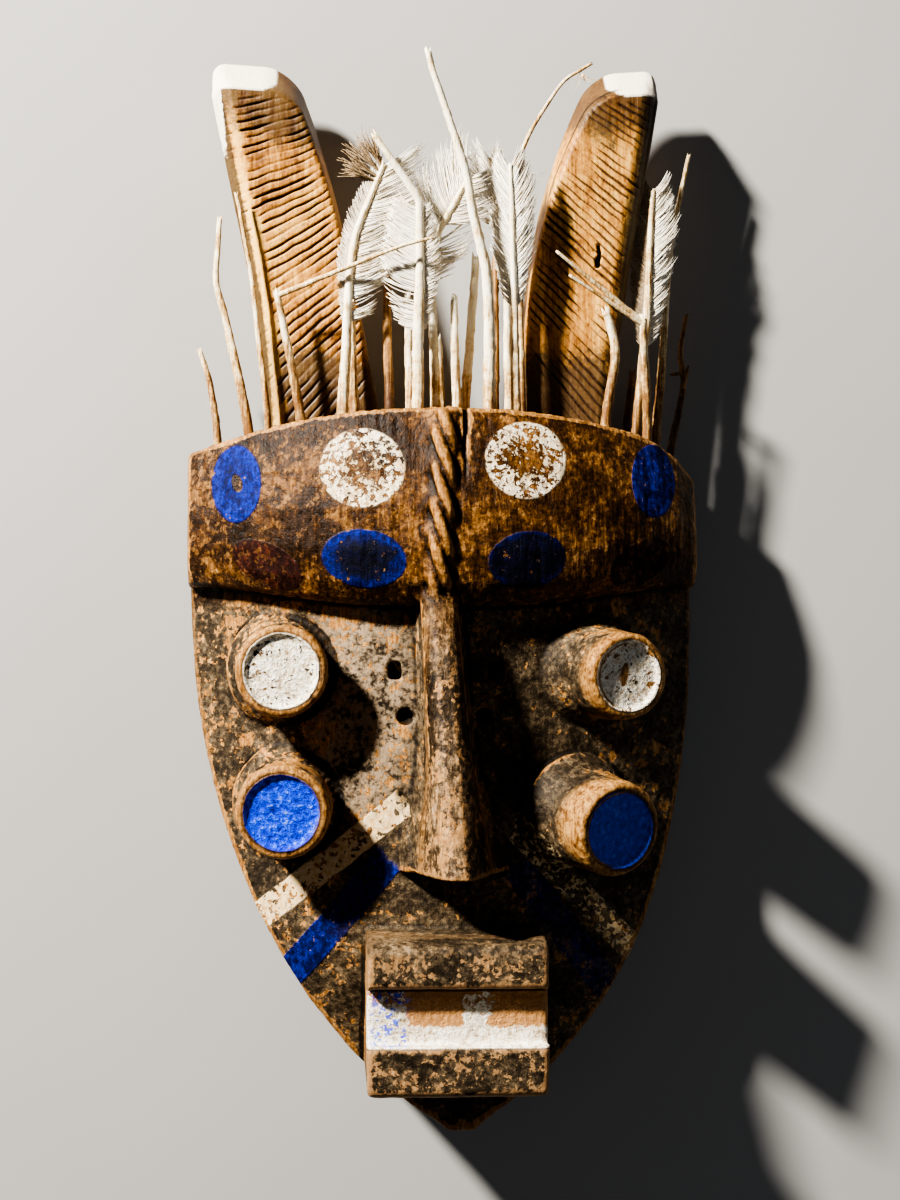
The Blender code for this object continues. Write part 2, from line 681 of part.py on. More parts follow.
def stem_path(share, inset, bends):
    """The whole path of a stem, from the bottom of its socket to its tip."""
    x = share * FACE_HALF_WIDTH
    leaves = Vector((x, forehead_y(x), brow_top_z(x) - inset))
    first = Vector(bends[0]).normalized()
    return [leaves - first * SOCKET_DEPTH] + [leaves + Vector(bend) for bend in bends]


def branch_path(share, inset, bends):
    x = share * FACE_HALF_WIDTH
    leaves = Vector((x, forehead_y(x), brow_top_z(x) - inset))
    return [leaves + Vector(bend) for bend in bends]


def cut_socket(mask, radius, path):
    """A blind hole a little wider and deeper than the stem that stands in it."""
    direction = (path[1] - path[0]).normalized()
    start = path[0] - direction * SOCKET_FLOOR
    end = path[0] + direction * (SOCKET_DEPTH + SOCKET_REACH)
    combine(mask, round_cutter("socket", start, end, radius * 1.04 + GAP + 0.15, 10), "DIFFERENCE")


def make_stems(mask):
    """Every loose stem and feather is its own body in its own socket."""
    for name, (share, inset, foot, tip, bends) in QUILLS.items():
        path = stem_path(share, inset, bends)
        cut_socket(mask, foot, path)
        finish_piece(tube_along(name, foot, tip, path))
    for name, (share, inset, foot, tip, bends, start, end, left, right) in FEATHERS.items():
        path = stem_path(share, inset, bends)
        cut_socket(mask, foot, path)
        stem = tube_along(name, foot, tip, path)
        combine(stem, vane_body(path, start, end, left, right), "UNION")
        finish_piece(stem)
    for name, (share, inset, foot, tip, bends, branches) in FORKED.items():
        path = stem_path(share, inset, bends)
        cut_socket(mask, foot, path)
        stem = tube_along(name, foot, tip, path)
        for branch_foot, branch_tip, branch_bends in branches:
            branch = tube_along("branch", branch_foot, branch_tip, branch_path(share, inset, branch_bends))
            combine(stem, branch, "UNION")
        finish_piece(stem)


def painted(name, colour, roughness):
    material = bpy.data.materials.new(name)
    material.use_nodes = True
    shader = material.node_tree.nodes["Principled BSDF"]
    shader.inputs["Base Color"].default_value = (*colour, 1)
    shader.inputs["Roughness"].default_value = roughness
    return material


def finish_piece(item):
    """Gives a piece its own material and round shading."""
    colour = (0.24, 0.13, 0.06) if item.name == "mask" else (0.78, 0.66, 0.44)
    if item.name == "twig_right" or "brown" in item.name:
        colour = (0.42, 0.26, 0.12)
    item.data.materials.clear()
    item.data.materials.append(painted(item.name, colour, 0.6))
    item.data.shade_smooth()
    item.data.set_sharp_from_angle(angle=math.radians(32))


def main():
    clear_scene()
    mask = face_body()
    combine(mask, brow_body(), "UNION")
    for side, tip_y, shares in (HORN_LEFT, HORN_RIGHT):
        sizes = [share * FACE_HALF_WIDTH for share in shares]
        horn = horn_body(side, tip_y, *sizes)
        combine(horn, horn_end_cutter(side, tip_y, sizes[2], sizes[5]), "DIFFERENCE")
        combine(mask, horn, "UNION")
    combine(mask, ridge_body(), "UNION")
    combine(mask, nose_body(), "UNION")
    for name, end_x, share, lean_right, lean_down, radius in TUBE_EYES:
        combine(mask, tube_body(end_x, share * CHIN_Y, lean_right, lean_down, radius), "UNION")
    combine(mask, mouth_body(), "UNION")
    cut_sight_holes(mask)
    cut_splits(mask)
    combine(mask, hollow(), "DIFFERENCE")
    make_stems(mask)
    finish_piece(mask)
    print(len(mask.data.polygons), "faces in the mask")


main()
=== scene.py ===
# %% [markdown]
# # A horned wooden mask, lying on its back
# The mask is one block of carved hardwood with a crest of worn feather shafts
# let into its crown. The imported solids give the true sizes, and this lesson
# dresses them: worn wood, chalky paint, grooved horns and real barbs.

import math

import bmesh
import bpy
import numpy as np
from mathutils import Matrix, Vector


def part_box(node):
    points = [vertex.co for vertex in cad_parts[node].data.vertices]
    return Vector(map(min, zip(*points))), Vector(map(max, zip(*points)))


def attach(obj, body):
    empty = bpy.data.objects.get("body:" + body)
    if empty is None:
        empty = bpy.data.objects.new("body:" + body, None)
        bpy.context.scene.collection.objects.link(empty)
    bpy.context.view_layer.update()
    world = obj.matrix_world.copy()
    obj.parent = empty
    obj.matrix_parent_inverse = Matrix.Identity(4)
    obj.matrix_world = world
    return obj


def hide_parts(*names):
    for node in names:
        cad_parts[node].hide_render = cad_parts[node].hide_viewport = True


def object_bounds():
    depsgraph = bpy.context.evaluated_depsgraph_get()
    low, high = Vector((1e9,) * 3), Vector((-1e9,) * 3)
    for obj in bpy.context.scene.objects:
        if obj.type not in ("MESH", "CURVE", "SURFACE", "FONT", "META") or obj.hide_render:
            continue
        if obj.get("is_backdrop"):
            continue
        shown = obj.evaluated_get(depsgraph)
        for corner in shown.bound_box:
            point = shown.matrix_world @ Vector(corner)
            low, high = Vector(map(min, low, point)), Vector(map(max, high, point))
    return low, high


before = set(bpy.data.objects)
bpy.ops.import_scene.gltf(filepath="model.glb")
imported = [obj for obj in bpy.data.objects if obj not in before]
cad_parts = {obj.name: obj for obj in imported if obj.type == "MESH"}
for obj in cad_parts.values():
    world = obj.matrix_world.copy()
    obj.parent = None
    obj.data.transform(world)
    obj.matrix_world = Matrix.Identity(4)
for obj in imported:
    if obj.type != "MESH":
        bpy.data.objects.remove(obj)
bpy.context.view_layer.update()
MM = 0.001
PER_METRE = 1000
MIDDLE_Y = 3.5

# %% [markdown]
# ## Where things are
# The maker's drawing has its zero between the eyes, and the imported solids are
# centred on their box, so one small function turns drawing millimetres into
# scene metres.


# %% Small helpers
def spot(x, y, z):
    return Vector((x * MM, (y - MIDDLE_Y) * MM, z * MM))


def linked(name, data):
    item = bpy.data.objects.new(name, data)
    bpy.context.scene.collection.objects.link(item)
    return item


def mix(first, second, share):
    return first + (second - first) * share


def smooth(value):
    value = np.clip(value, 0.0, 1.0)
    return value * value * (3 - 2 * value)


# %% [markdown]
# ## Camera, floor and light
# The photograph looks straight at the face from a little to its left. The mask
# cannot stand by itself, so it lies on its back and the camera looks down. One
# window-sized lamp at the upper left models the carving, and a paler one fills
# the far side.

# %% Camera above the mask
VIEW_DISTANCE = 1.3
VIEW_SHIFT = 0.0054
SENSOR = 36
VIEW_SWING = math.radians(3.0)
PHOTO_FOCAL = 2600 / 1200
outward = Vector((-math.sin(VIEW_SWING), 0, math.cos(VIEW_SWING)))
across = Vector((math.cos(VIEW_SWING), 0, math.sin(VIEW_SWING)))
aim = spot(0, 0, 0) + across * VIEW_SHIFT
camera_data = bpy.data.cameras.new("camera")
camera_data.sensor_fit = "VERTICAL"
camera_data.sensor_height = SENSOR
camera_data.lens = SENSOR * PHOTO_FOCAL
camera = linked("camera", camera_data)
turn = Matrix((across, Vector((0, 1, 0)), outward)).transposed()
camera.matrix_world = Matrix.Translation(aim + outward * VIEW_DISTANCE) @ turn.to_4x4()
bpy.context.scene.camera = camera
print("lens", round(camera_data.lens, 1), "mm, from", round(VIEW_DISTANCE, 2), "m")


# %% Lamps
def lamp(name, place, size, power, colour):
    data = bpy.data.lights.new(name, "AREA")
    data.shape = "DISK"
    data.size = size
    data.energy = power
    data.color = colour
    item = linked(name, data)
    item.location = place
    item.rotation_euler = (-Vector(place)).to_track_quat("-Z", "Y").to_euler()


lamp("key_lamp", (-1.36, 1.32, 1.05), 0.2, 172, (1.0, 0.95, 0.86))
lamp("fill_lamp", (1.1, -0.7, 1.3), 1.2, 2.2, (0.93, 0.96, 1.0))
world = bpy.data.worlds.new("studio")
world.use_nodes = True
sky = world.node_tree.nodes["Background"].inputs
sky["Color"].default_value = (0.9, 0.93, 1.0, 1)
sky["Strength"].default_value = 0.05
bpy.context.scene.world = world
bpy.context.scene.view_settings.look = "AgX - High Contrast"

# %% [markdown]
# ## Colours
# Colours are written as a painter's 0 to 255 values and turned into the linear
# numbers that a shader works in.


# %% Colours
def linear(value):
    """One painter's value as the share of light it stands for."""
    share = value / 255
    return share / 12.92 if value < 10.3 else ((share + 0.055) / 1.055) ** 2.4


def colour(red, green, blue):
    return tuple(linear(value) for value in (red, green, blue))


DEEP_BROWN = colour(48, 32, 20)
CHALK = colour(228, 220, 203)
print("chalk in linear light", [round(v, 3) for v in CHALK])

# %% [markdown]
# ## Sums on sockets
# Colours and bumps are written as sums. The class below wraps a node's output,
# so that an expression such as `1 - mask * 0.5` adds the Math nodes by itself.


# %% A wire that can be used in sums
def maths(operation, flipped=False):
    """A method that puts one Math node behind a wire."""

    def method(wire, other=0.0):
        first, second = (other, wire) if flipped else (wire, other)
        return wire.recipe.node("Math", {"operation": operation}, {0: first, 1: second})

    return method


class Wire:
    """One output of a node, which can be added, multiplied and compared."""

    def __init__(self, recipe, socket):
        self.recipe = recipe
        self.socket = socket

    __add__ = __radd__ = maths("ADD")
    __sub__ = maths("SUBTRACT")
    __rsub__ = maths("SUBTRACT", flipped=True)
    __mul__ = __rmul__ = maths("MULTIPLY")
    __truediv__ = maths("DIVIDE")
    __abs__ = maths("ABSOLUTE")
    root = maths("SQRT")
    least = maths("MINIMUM")
    most = maths("MAXIMUM")

    def rise(self, low, high):
        """0 below low, 1 above high, and a soft step between."""
        if low > high:
            return 1 - self.rise(high, low)
        inputs = {"Value": self, "From Min": low, "From Max": high}
        return self.recipe.node("MapRange", {"interpolation_type": "SMOOTHSTEP"}, inputs)


class Recipe:
    """A material under construction."""

    def __init__(self, name):
        self.material = bpy.data.materials.new(name)
        self.material.use_nodes = True
        self.tree = self.material.node_tree
        self.shader = self.tree.nodes["Principled BSDF"]
        self.coat = None

    def feed(self, socket, value):
        if isinstance(value, Wire):
            self.tree.links.new(value.socket, socket)
        elif socket.type == "RGBA":
            socket.default_value = (*value[:3], 1)
        else:
            socket.default_value = value

    def node(self, kind, settings=None, inputs=None, output=0):
        made = self.tree.nodes.new("ShaderNode" + kind)
        for key, value in (settings or {}).items():
            if key == "stops":
                ramp = made.color_ramp
                while len(ramp.elements) < len(value):
                    ramp.elements.new(0.5)
                for element, (place, *painted) in zip(ramp.elements, value):
                    element.position = place
                    element.color = (*colour(*painted), 1)
            else:
                setattr(made, key, value)
        for key, value in (inputs or {}).items():
            self.feed(made.inputs[key], value)
        return Wire(self, made.outputs[output])

    def blend(self, first, second, share):
        """A colour between two, by a share that may vary."""
        return self.node("Mix", {"data_type": "RGBA"}, {0: share, 6: first, 7: second}, 2)

    def lay(self, painted, share):
        """One more layer over the coat so far."""
        self.coat = self.blend(self.coat, painted, share)

    def vector(self, operation, *inputs):
        return self.node("VectorMath", {"operation": operation}, dict(enumerate(inputs)))

    def place(self):
        """Drawing millimetres as a vector and as three numbers."""
        metres = self.node("TexCoord", {}, {}, "Object")
        vector = self.vector("MULTIPLY_ADD", metres, (PER_METRE,) * 3, (0, MIDDLE_Y, 0))
        parts = [self.node("SeparateXYZ", {}, {0: vector}, axis) for axis in "XYZ"]
        return vector, *parts

    def stretched(self, vector, x, y, z):
        return self.vector("MULTIPLY", vector, (x, y, z))

    def moved(self, vector, seed):
        """A far-off place for each seed, so that no two noises agree."""
        return self.vector("ADD", vector, (seed * 173.0, seed * 77.0, seed * 111.0))

    def grain(self, vector, size, detail=4.0, roughness=0.55, seed=0.0, bend=0.0):
        """Cloudy noise whose lumps are about size millimetres across."""
        inputs = {"Vector": self.moved(vector, seed), "Scale": 1.0 / size, "Detail": detail}
        inputs.update({"Roughness": roughness, "Distortion": bend})
        return self.node("TexNoise", {}, inputs)

    def shaken(self, vector, size, amount, seed=0.0):
        """The same place, pushed about by noise so that edges come out ragged."""
        inputs = {"Vector": self.moved(vector, seed), "Scale": 1.0 / size, "Detail": 3.0}
        push = self.node("TexNoise", {}, inputs, 1)
        centred = self.vector("SUBTRACT", push, (0.5, 0.5, 0.5))
        return self.vector("MULTIPLY_ADD", centred, (amount,) * 3, vector)

    def flake(self, vector, size, seed=0.0):
        """One random number for each angular flake of about this size."""
        inputs = {"Vector": self.moved(vector, seed), "Scale": 1.0 / size}
        cell_colour = self.node("TexVoronoi", {}, inputs, 1)
        return self.node("SeparateColor", {}, {0: cell_colour})

    def ramp(self, share, *stops):
        """Several colours in a row, each with its place along the share."""
        return self.node("ValToRGB", {"stops": stops}, {0: share})

    def value(self, name):
        """A number that the mesh carries at each corner."""
        return self.node("Attribute", {"attribute_name": name}, {}, "Fac")

    def finish(self, roughness, height, strength, depth, shine=0.4):
        """Feeds the shader. Strength and depth set how high the bumps are."""
        self.feed(self.shader.inputs["Base Color"], self.coat)
        self.feed(self.shader.inputs["Roughness"], roughness)
        self.shader.inputs["Specular IOR Level"].default_value = shine
        inputs = {"Height": height, "Strength": strength, "Distance": depth}
        self.feed(self.shader.inputs["Normal"], self.node("Bump", {}, inputs))
        print("finish", self.material.name, len(self.tree.nodes), "nodes")


def wear(item, recipe):
    """Puts one finish on a piece."""
    item.data.materials.clear()
    item.data.materials.append(recipe.material)


# %% [markdown]
# ## Floor
# A pale sheet of studio paper, a little uneven so that it is not a flat grey.

# %% Pale floor
paper = Recipe("studio_paper")
where, *_ = paper.place()
fibre = paper.grain(where, 3.0, 3.0)
paper.coat = paper.blend((0.37, 0.366, 0.36), (0.41, 0.406, 0.40), paper.grain(where, 240.0, 2.0))
paper.finish(0.85, fibre, 0.15, 0.0002)
floor_mesh = bpy.data.meshes.new("floor")
FLOOR_REACH, FLOOR_Z = 4, -0.0003
FLOOR_SIGNS = ((-1, -1), (1, -1), (1, 1), (-1, 1))
floor_corners = [(east * FLOOR_REACH, north * FLOOR_REACH, FLOOR_Z) for east, north in FLOOR_SIGNS]
floor_mesh.from_pydata(floor_corners, [], [(0, 1, 2, 3)])
floor = linked("floor", floor_mesh)
wear(floor, paper)
floor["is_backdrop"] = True
print("floor laid")

# %% [markdown]
# ## Roughness in the mesh
# A carved surface is uneven at every size. The coarse unevenness has to be in
# the mesh itself, so here is a small noise of our own that works on thousands
# of points at once and gives the same answer every time.


# %% Noise for meshes
def lattice(ix, iy, iz, seed):
    code = ix.astype(np.int64) * 374761393 + iy.astype(np.int64) * 668265263
    code = (code + iz.astype(np.int64) * 1440662683 + seed * 1274126177) & 0xFFFFFFFF
    code = ((code ^ (code >> 13)) * 1274126177) & 0xFFFFFFFF
    code = ((code ^ (code >> 15)) * 2246822519) & 0xFFFFFFFF
    return (code & 0xFFFFFF) / float(0xFFFFFF)


def lumps(points, size, seed):
    """Smooth noise from -1 to 1. size is one number or three, in millimetres."""
    scaled = points / np.asarray(size, float)
    base = np.floor(scaled)
    rest = scaled - base
    rest = rest * rest * (3 - 2 * rest)
    total = np.zeros(len(points))
    for corner in range(8):
        step = [(corner >> axis) & 1 for axis in range(3)]
        weight = np.ones(len(points))
        for axis in range(3):
            weight *= rest[:, axis] if step[axis] else 1 - rest[:, axis]
        total += weight * lattice(*(base[:, axis] + step[axis] for axis in range(3)), seed)
    return total * 2 - 1


def layered(points, size, seed, layers=3):
    size = np.asarray(size, float)
    total = sum(lumps(points, size / 2 ** k, seed + k) / 2 ** k for k in range(layers))
    return total / (2 - 2 ** (1 - layers))


print("noise from", lumps(np.random.default_rng(1).uniform(-90, 90, (2000, 3)), 7.0, 1).min().round(2))

# %% [markdown]
# ## Meshes as arrays
# Big meshes are quick to work on as arrays of corners. These helpers read a
# mesh into arrays, smooth it, find which corners stick out, and write it back.


# %% Mesh helpers
def corners_of(mesh):
    flat = np.empty(len(mesh.vertices) * 3, np.float32)
    mesh.vertices.foreach_get("co", flat)
    points = flat.reshape(-1, 3).astype(float) * PER_METRE
    points[:, 1] += MIDDLE_Y
    return points


def put_corners(mesh, points):
    metres = points.copy()
    metres[:, 1] -= MIDDLE_Y
    mesh.vertices.foreach_set("co", (metres * MM).astype(np.float32).ravel())
    mesh.update()


def edges_of(mesh):
    flat = np.empty(len(mesh.edges) * 2, np.int32)
    mesh.edges.foreach_get("vertices", flat)
    return flat.reshape(-1, 2)


def averaged(values, edges):
    """Each corner's neighbours, averaged."""
    count = np.bincount(edges.ravel(), minlength=len(values)).astype(float)
    total = np.empty_like(values)
    for axis in range(values.shape[1]):
        column = values[:, axis]
        total[:, axis] = np.bincount(edges[:, 0], column[edges[:, 1]], len(values))
        total[:, axis] += np.bincount(edges[:, 1], column[edges[:, 0]], len(values))
    return total / np.maximum(count, 1)[:, None]


def relaxed(points, edges, rounds, share=0.5):
    for _ in range(rounds):
        points = points + (averaged(points, edges) - points) * share
    return points


def normals_of(mesh):
    flat = np.empty(len(mesh.vertices) * 3, np.float32)
    mesh.vertices.foreach_get("normal", flat)
    return flat.reshape(-1, 3).astype(float)


def evaluated_mesh(item):
    graph = bpy.context.evaluated_depsgraph_get()
    return bpy.data.meshes.new_from_object(item.evaluated_get(graph))


def carry(mesh, name, values):
    layer = mesh.attributes.new(name, "FLOAT", "POINT")
    layer.data.foreach_set("value", np.asarray(values, np.float32))


def applied(item, kind, **settings):
    """Runs one modifier and keeps its result as the object's mesh."""
    step = item.modifiers.new(kind.lower(), kind)
    for key, value in settings.items():
        setattr(step, key, value)
    mesh = evaluated_mesh(item)
    item.modifiers.clear()
    old = item.data
    item.data = mesh
    bpy.data.meshes.remove(old)


def drawing_box(corners):
    """Two corners in metres as drawing millimetres."""
    low, high = (np.array(corner) * PER_METRE for corner in corners)
    low[1] += MIDDLE_Y
    high[1] += MIDDLE_Y
    return low, high


# %% [markdown]
# ## The carved block
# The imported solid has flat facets. Remeshing it into small even squares gives
# a skin that can be worked like wood: edges are rubbed round, gouge marks and
# grain are pressed in, and then the squares that carry no detail are merged.
# The horns are cut off here, because they get a finer mesh of their own.

# %% Remesh the block
FOREHEAD_TOP = 91.0
FOREHEAD_DROP = 20.0
HALF_WIDTH = 122.4
SKIN_SQUARE = 0.00095


def forehead_y(x):
    worn = np.maximum(x - 94.0, 0) / 29.4
    return FOREHEAD_TOP - FOREHEAD_DROP * (np.abs(x) / HALF_WIDTH) ** 2.2 - 12.0 * worn ** 2


block = linked("carved_block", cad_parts["mask"].data.copy())
applied(block, "REMESH", mode="VOXEL", voxel_size=SKIN_SQUARE, adaptivity=0.0, use_smooth_shade=True)
skin = bmesh.new()
skin.from_mesh(block.data)
points = corners_of(block.data)
beyond = points[:, 1] > forehead_y(points[:, 0]) + 2.2
skin.verts.ensure_lookup_table()
bmesh.ops.delete(skin, geom=[skin.verts[i] for i in np.flatnonzero(beyond)], context="VERTS")
skin.to_mesh(block.data)
skin.free()
print("skin:", len(block.data.polygons), "squares")

# %% Rub the edges and press in the tool marks
TUBES = (
    (-77.8, -33.1, 21.8, -2.0, 0.0),
    (-77.6, -98.9, 22.2, -6.0, 3.0),
    (84.6, -35.7, 20.6, 22.0, 2.0),
    (80.1, -107.2, 22.6, 28.0, 9.0),
)
TUBE_LENGTH = 33.0
SPLIT_X = 8.2
UP_ONLY = np.array([0, 1, 0])


def beside_split(points):
    """How far each corner is from the wandering split in the forehead."""
    return np.abs(points[:, 0] - (SPLIT_X + 0.9 * lumps(points * UP_ONLY, 9.0, 81)))


edges = edges_of(block.data)
points = relaxed(corners_of(block.data), edges, 4)
put_corners(block.data, points)
normals = normals_of(block.data)
x, y, z = points.T
front = smooth((normals[:, 2] + 0.35) / 0.5) * smooth((z - 6) / 10)
marks = 0.42 * layered(points, (15, 21, 15), 11, 2) + 0.20 * layered(points, (4.5, 8, 4.5), 21, 2)
marks += 0.10 * lumps(points, 1.9, 31)
brow = smooth((y + 2) / 6) * smooth((z - 20) / 10)
marks += brow * (0.28 * layered(points, (1.9, 22, 3), 41, 2) + 0.25 * lumps(points, (7, 26, 7), 51))
for tube_x, tube_y, radius, lean, dip in TUBES:
    foot_x = tube_x - math.tan(math.radians(lean)) * TUBE_LENGTH * 0.8
    foot_y = tube_y + math.tan(math.radians(dip)) * TUBE_LENGTH * 0.8
    away = np.hypot(x - foot_x, y - foot_y)
    angle = np.arctan2(y - foot_y, x - foot_x)
    ring = smooth((away - radius + 3) / 4) * smooth((radius + 9 - away) / 8) * (z < 82)
    flutes = np.sin(angle * 23 + 3.0 * lumps(points, 11.0, 61)) ** 2
    marks -= ring * 0.45 * flutes * (0.6 + 0.4 * lumps(points, 14.0, 63))
    if lean < 0:
        marks -= 1.5 * ring * smooth((radius + 7 - away) / 4)
wing_line = np.abs(x + 21.5 - 5.5 * np.clip((-92 - y) / 32, 0, 1) ** 0.5)
wing = smooth((-88 - y) / 5) * smooth((y + 133) / 4) * (x < -10) * (x > -32) * (z > 70)
marks -= 1.1 * smooth((2.2 - wing_line) / 1.6) * wing
rope_share = np.clip((y - 2) / 89, 0, 1)
rope_x = mix(-4.5, -1.2, rope_share)
ROPE_PLACES = (0, 0.03, 0.12, 0.28, 0.5, 0.74, 0.93, 1)
ROPE_HEIGHTS = (0.3, 0.62, 0.88, 1, 0.97, 0.76, 0.5, 0.36)
ROPE_LAY = 34.0
rope_z = np.interp((y + 3) / 94, ROPE_PLACES, ROPE_HEIGHTS) * 19 + 70.8
rope_angle = np.arctan2(z - rope_z, x - rope_x)
on_rope = smooth((8.5 - np.hypot(x - rope_x, z - rope_z)) / 2.0) * (z > rope_z - 1.5) * (y > 0) * (y < 92)
twist = np.abs(np.cos(2 * (rope_angle - math.pi * y / ROPE_LAY)))
marks += on_rope * (1.15 * twist ** 0.6 - 0.75)
split_reach = smooth((y - 44) / 30)
in_split = smooth((0.95 - beside_split(points)) / 0.5) * split_reach * brow
marks -= in_split * (2.6 * split_reach + 0.4)
depth = marks * front + 0.22 * layered(points, 9.0, 71, 3) * (1 - front)
points = points + normals * depth[:, None]
block_low, block_high = drawing_box(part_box("mask"))
points = np.clip(points, block_low, block_high)
put_corners(block.data, points)
print("marks from", depth.min().round(2), "to", depth.max().round(2), "mm")

# %% Merge what carries no detail
hidden = block.vertex_groups.new(name="plain")
kept = smooth((normals_of(block.data)[:, 2] + 0.1) / 0.3) * smooth((points[:, 2] - 8) / 14)
for weight in range(5):
    chosen = np.flatnonzero(np.round((1 - kept) * 4) == weight).tolist()
    hidden.add(chosen, weight / 4, "REPLACE")
faces = sum(len(p.vertices) - 2 for p in block.data.polygons)
MOST_TRIANGLES = 186000
applied(block, "DECIMATE", ratio=MOST_TRIANGLES / faces, vertex_group="plain", vertex_group_factor=1.0)
block.vertex_groups.clear()
edges = edges_of(block.data)
points = np.clip(corners_of(block.data), block_low, block_high)
put_corners(block.data, points)
normals = normals_of(block.data)
wide = relaxed(points, edges, 14, 0.6)
carry(block.data, "ridge_wear", ((points - wide) * normals).sum(1))
carry(block.data, "facing", normals[:, 2])
# Painted shade: the crack closed in the remesh, so where it runs is carried on the mesh and painted near
# black.
split_painted_shade_share = smooth((1.3 - beside_split(points)) / 0.6) * smooth((points[:, 1] - 40) / 30)
carry(block.data, "split", split_painted_shade_share * (points[:, 2] > 60))
block.data.shade_smooth()
print("block:", len(block.data.polygons), "faces after merging")


# %% [markdown]
# ## Horns
# Each horn is a flat curved blade with one cut groove after another across its
# face. The grooves follow the solid's own spacing and slant, but this mesh is
# fine enough to give each one a sharp bottom, a wandering line and uneven depth.
# The end is sawn at a slope and was painted white.

# %% Horn blades
HORN_BACK = 23.0
HORN_THICK = 22.0
HORN_ROOT = 52.0
HORN_GROOVES = 44
END_BEVEL = 15.0
END_TILT = 0.0625
GROOVE_START, GROOVE_END, GROOVE_CROWDING = 0.12, 0.985, 0.28
HORN_SLIT = (75.3, 166.5, 1.0, 6.2)
BLADE_ROWS = 430
EDGE_RADIUS, BACK_RADIUS = 3.0, 1.8
GROOVE_DEPTH = 1.25
SLIT_DEPTH = 5.0
# side, then x and width at the root, middle and tip, the tip's y, how wide the pale
# strip is, the grooves' slant at tip and root, and how far the end corners are worn
HORNS = {
    "left_horn": (-1, (-53.7, -67.7, -92.7), (58.0, 50.5, 41.0), 263.0, 10.0, (9.0, 54.0), (7.0, 14.0)),
    "right_horn": (1, (61.8, 65.3, 89.8), (41.0, 48.5, 33.0), 261.3, 5.0, (26.0, 54.0), (12.0, 6.0)),
}


def blade_section(width):
    """Corners round a blade with rounded edges, each with its outward direction."""
    half = width / 2
    radius, back_radius = EDGE_RADIUS, BACK_RADIUS
    path = []

    def run(count, start, end, direction):
        for share in np.linspace(0, 1, count, endpoint=False):
            path.append((*mix(np.array(start), np.array(end), share), *direction))

    def bend(count, middle, size, start):
        for share in np.linspace(0, 1, count, endpoint=False):
            angle = math.radians(start - 90 * share)
            out = (math.cos(angle), math.sin(angle))
            path.append((middle[0] + size * out[0], middle[1] + size * out[1], *out))

    top = HORN_THICK
    run(78, (-half + radius, top), (half - radius, top), (0, 1))
    bend(8, (half - radius, top - radius), radius, 90)
    run(16, (half, top - radius), (half, back_radius), (1, 0))
    bend(4, (half - back_radius, back_radius), back_radius, 0)
    run(14, (half - back_radius, 0), (-half + back_radius, 0), (0, -1))
    bend(4, (-half + back_radius, back_radius), back_radius, -90)
    run(16, (-half, back_radius), (-half, top - radius), (-1, 0))
    bend(8, (-half + radius, top - radius), radius, 180)
    return np.array(path)


print("corners round a blade:", len(blade_section(50.0)))


# %% Shape a horn and cut its grooves
def end_inset(left_over, radius):
    """How far a rounded shoulder has drawn in, this far from the end."""
    short = max(radius - left_over, 0.0)
    return radius - math.sqrt(radius ** 2 - short ** 2)


def planed(points, u, side, width):
    """Drops the outer edge of the face so that it turns to the side."""
    edge = np.clip((u * side - (0.5 - 8.0 / width)) * width / 8.0, 0, 1)
    low = np.clip((points[:, 2] - HORN_BACK - 6) / 12, 0, 1)
    return 5.2 * edge ** 1.7 * low


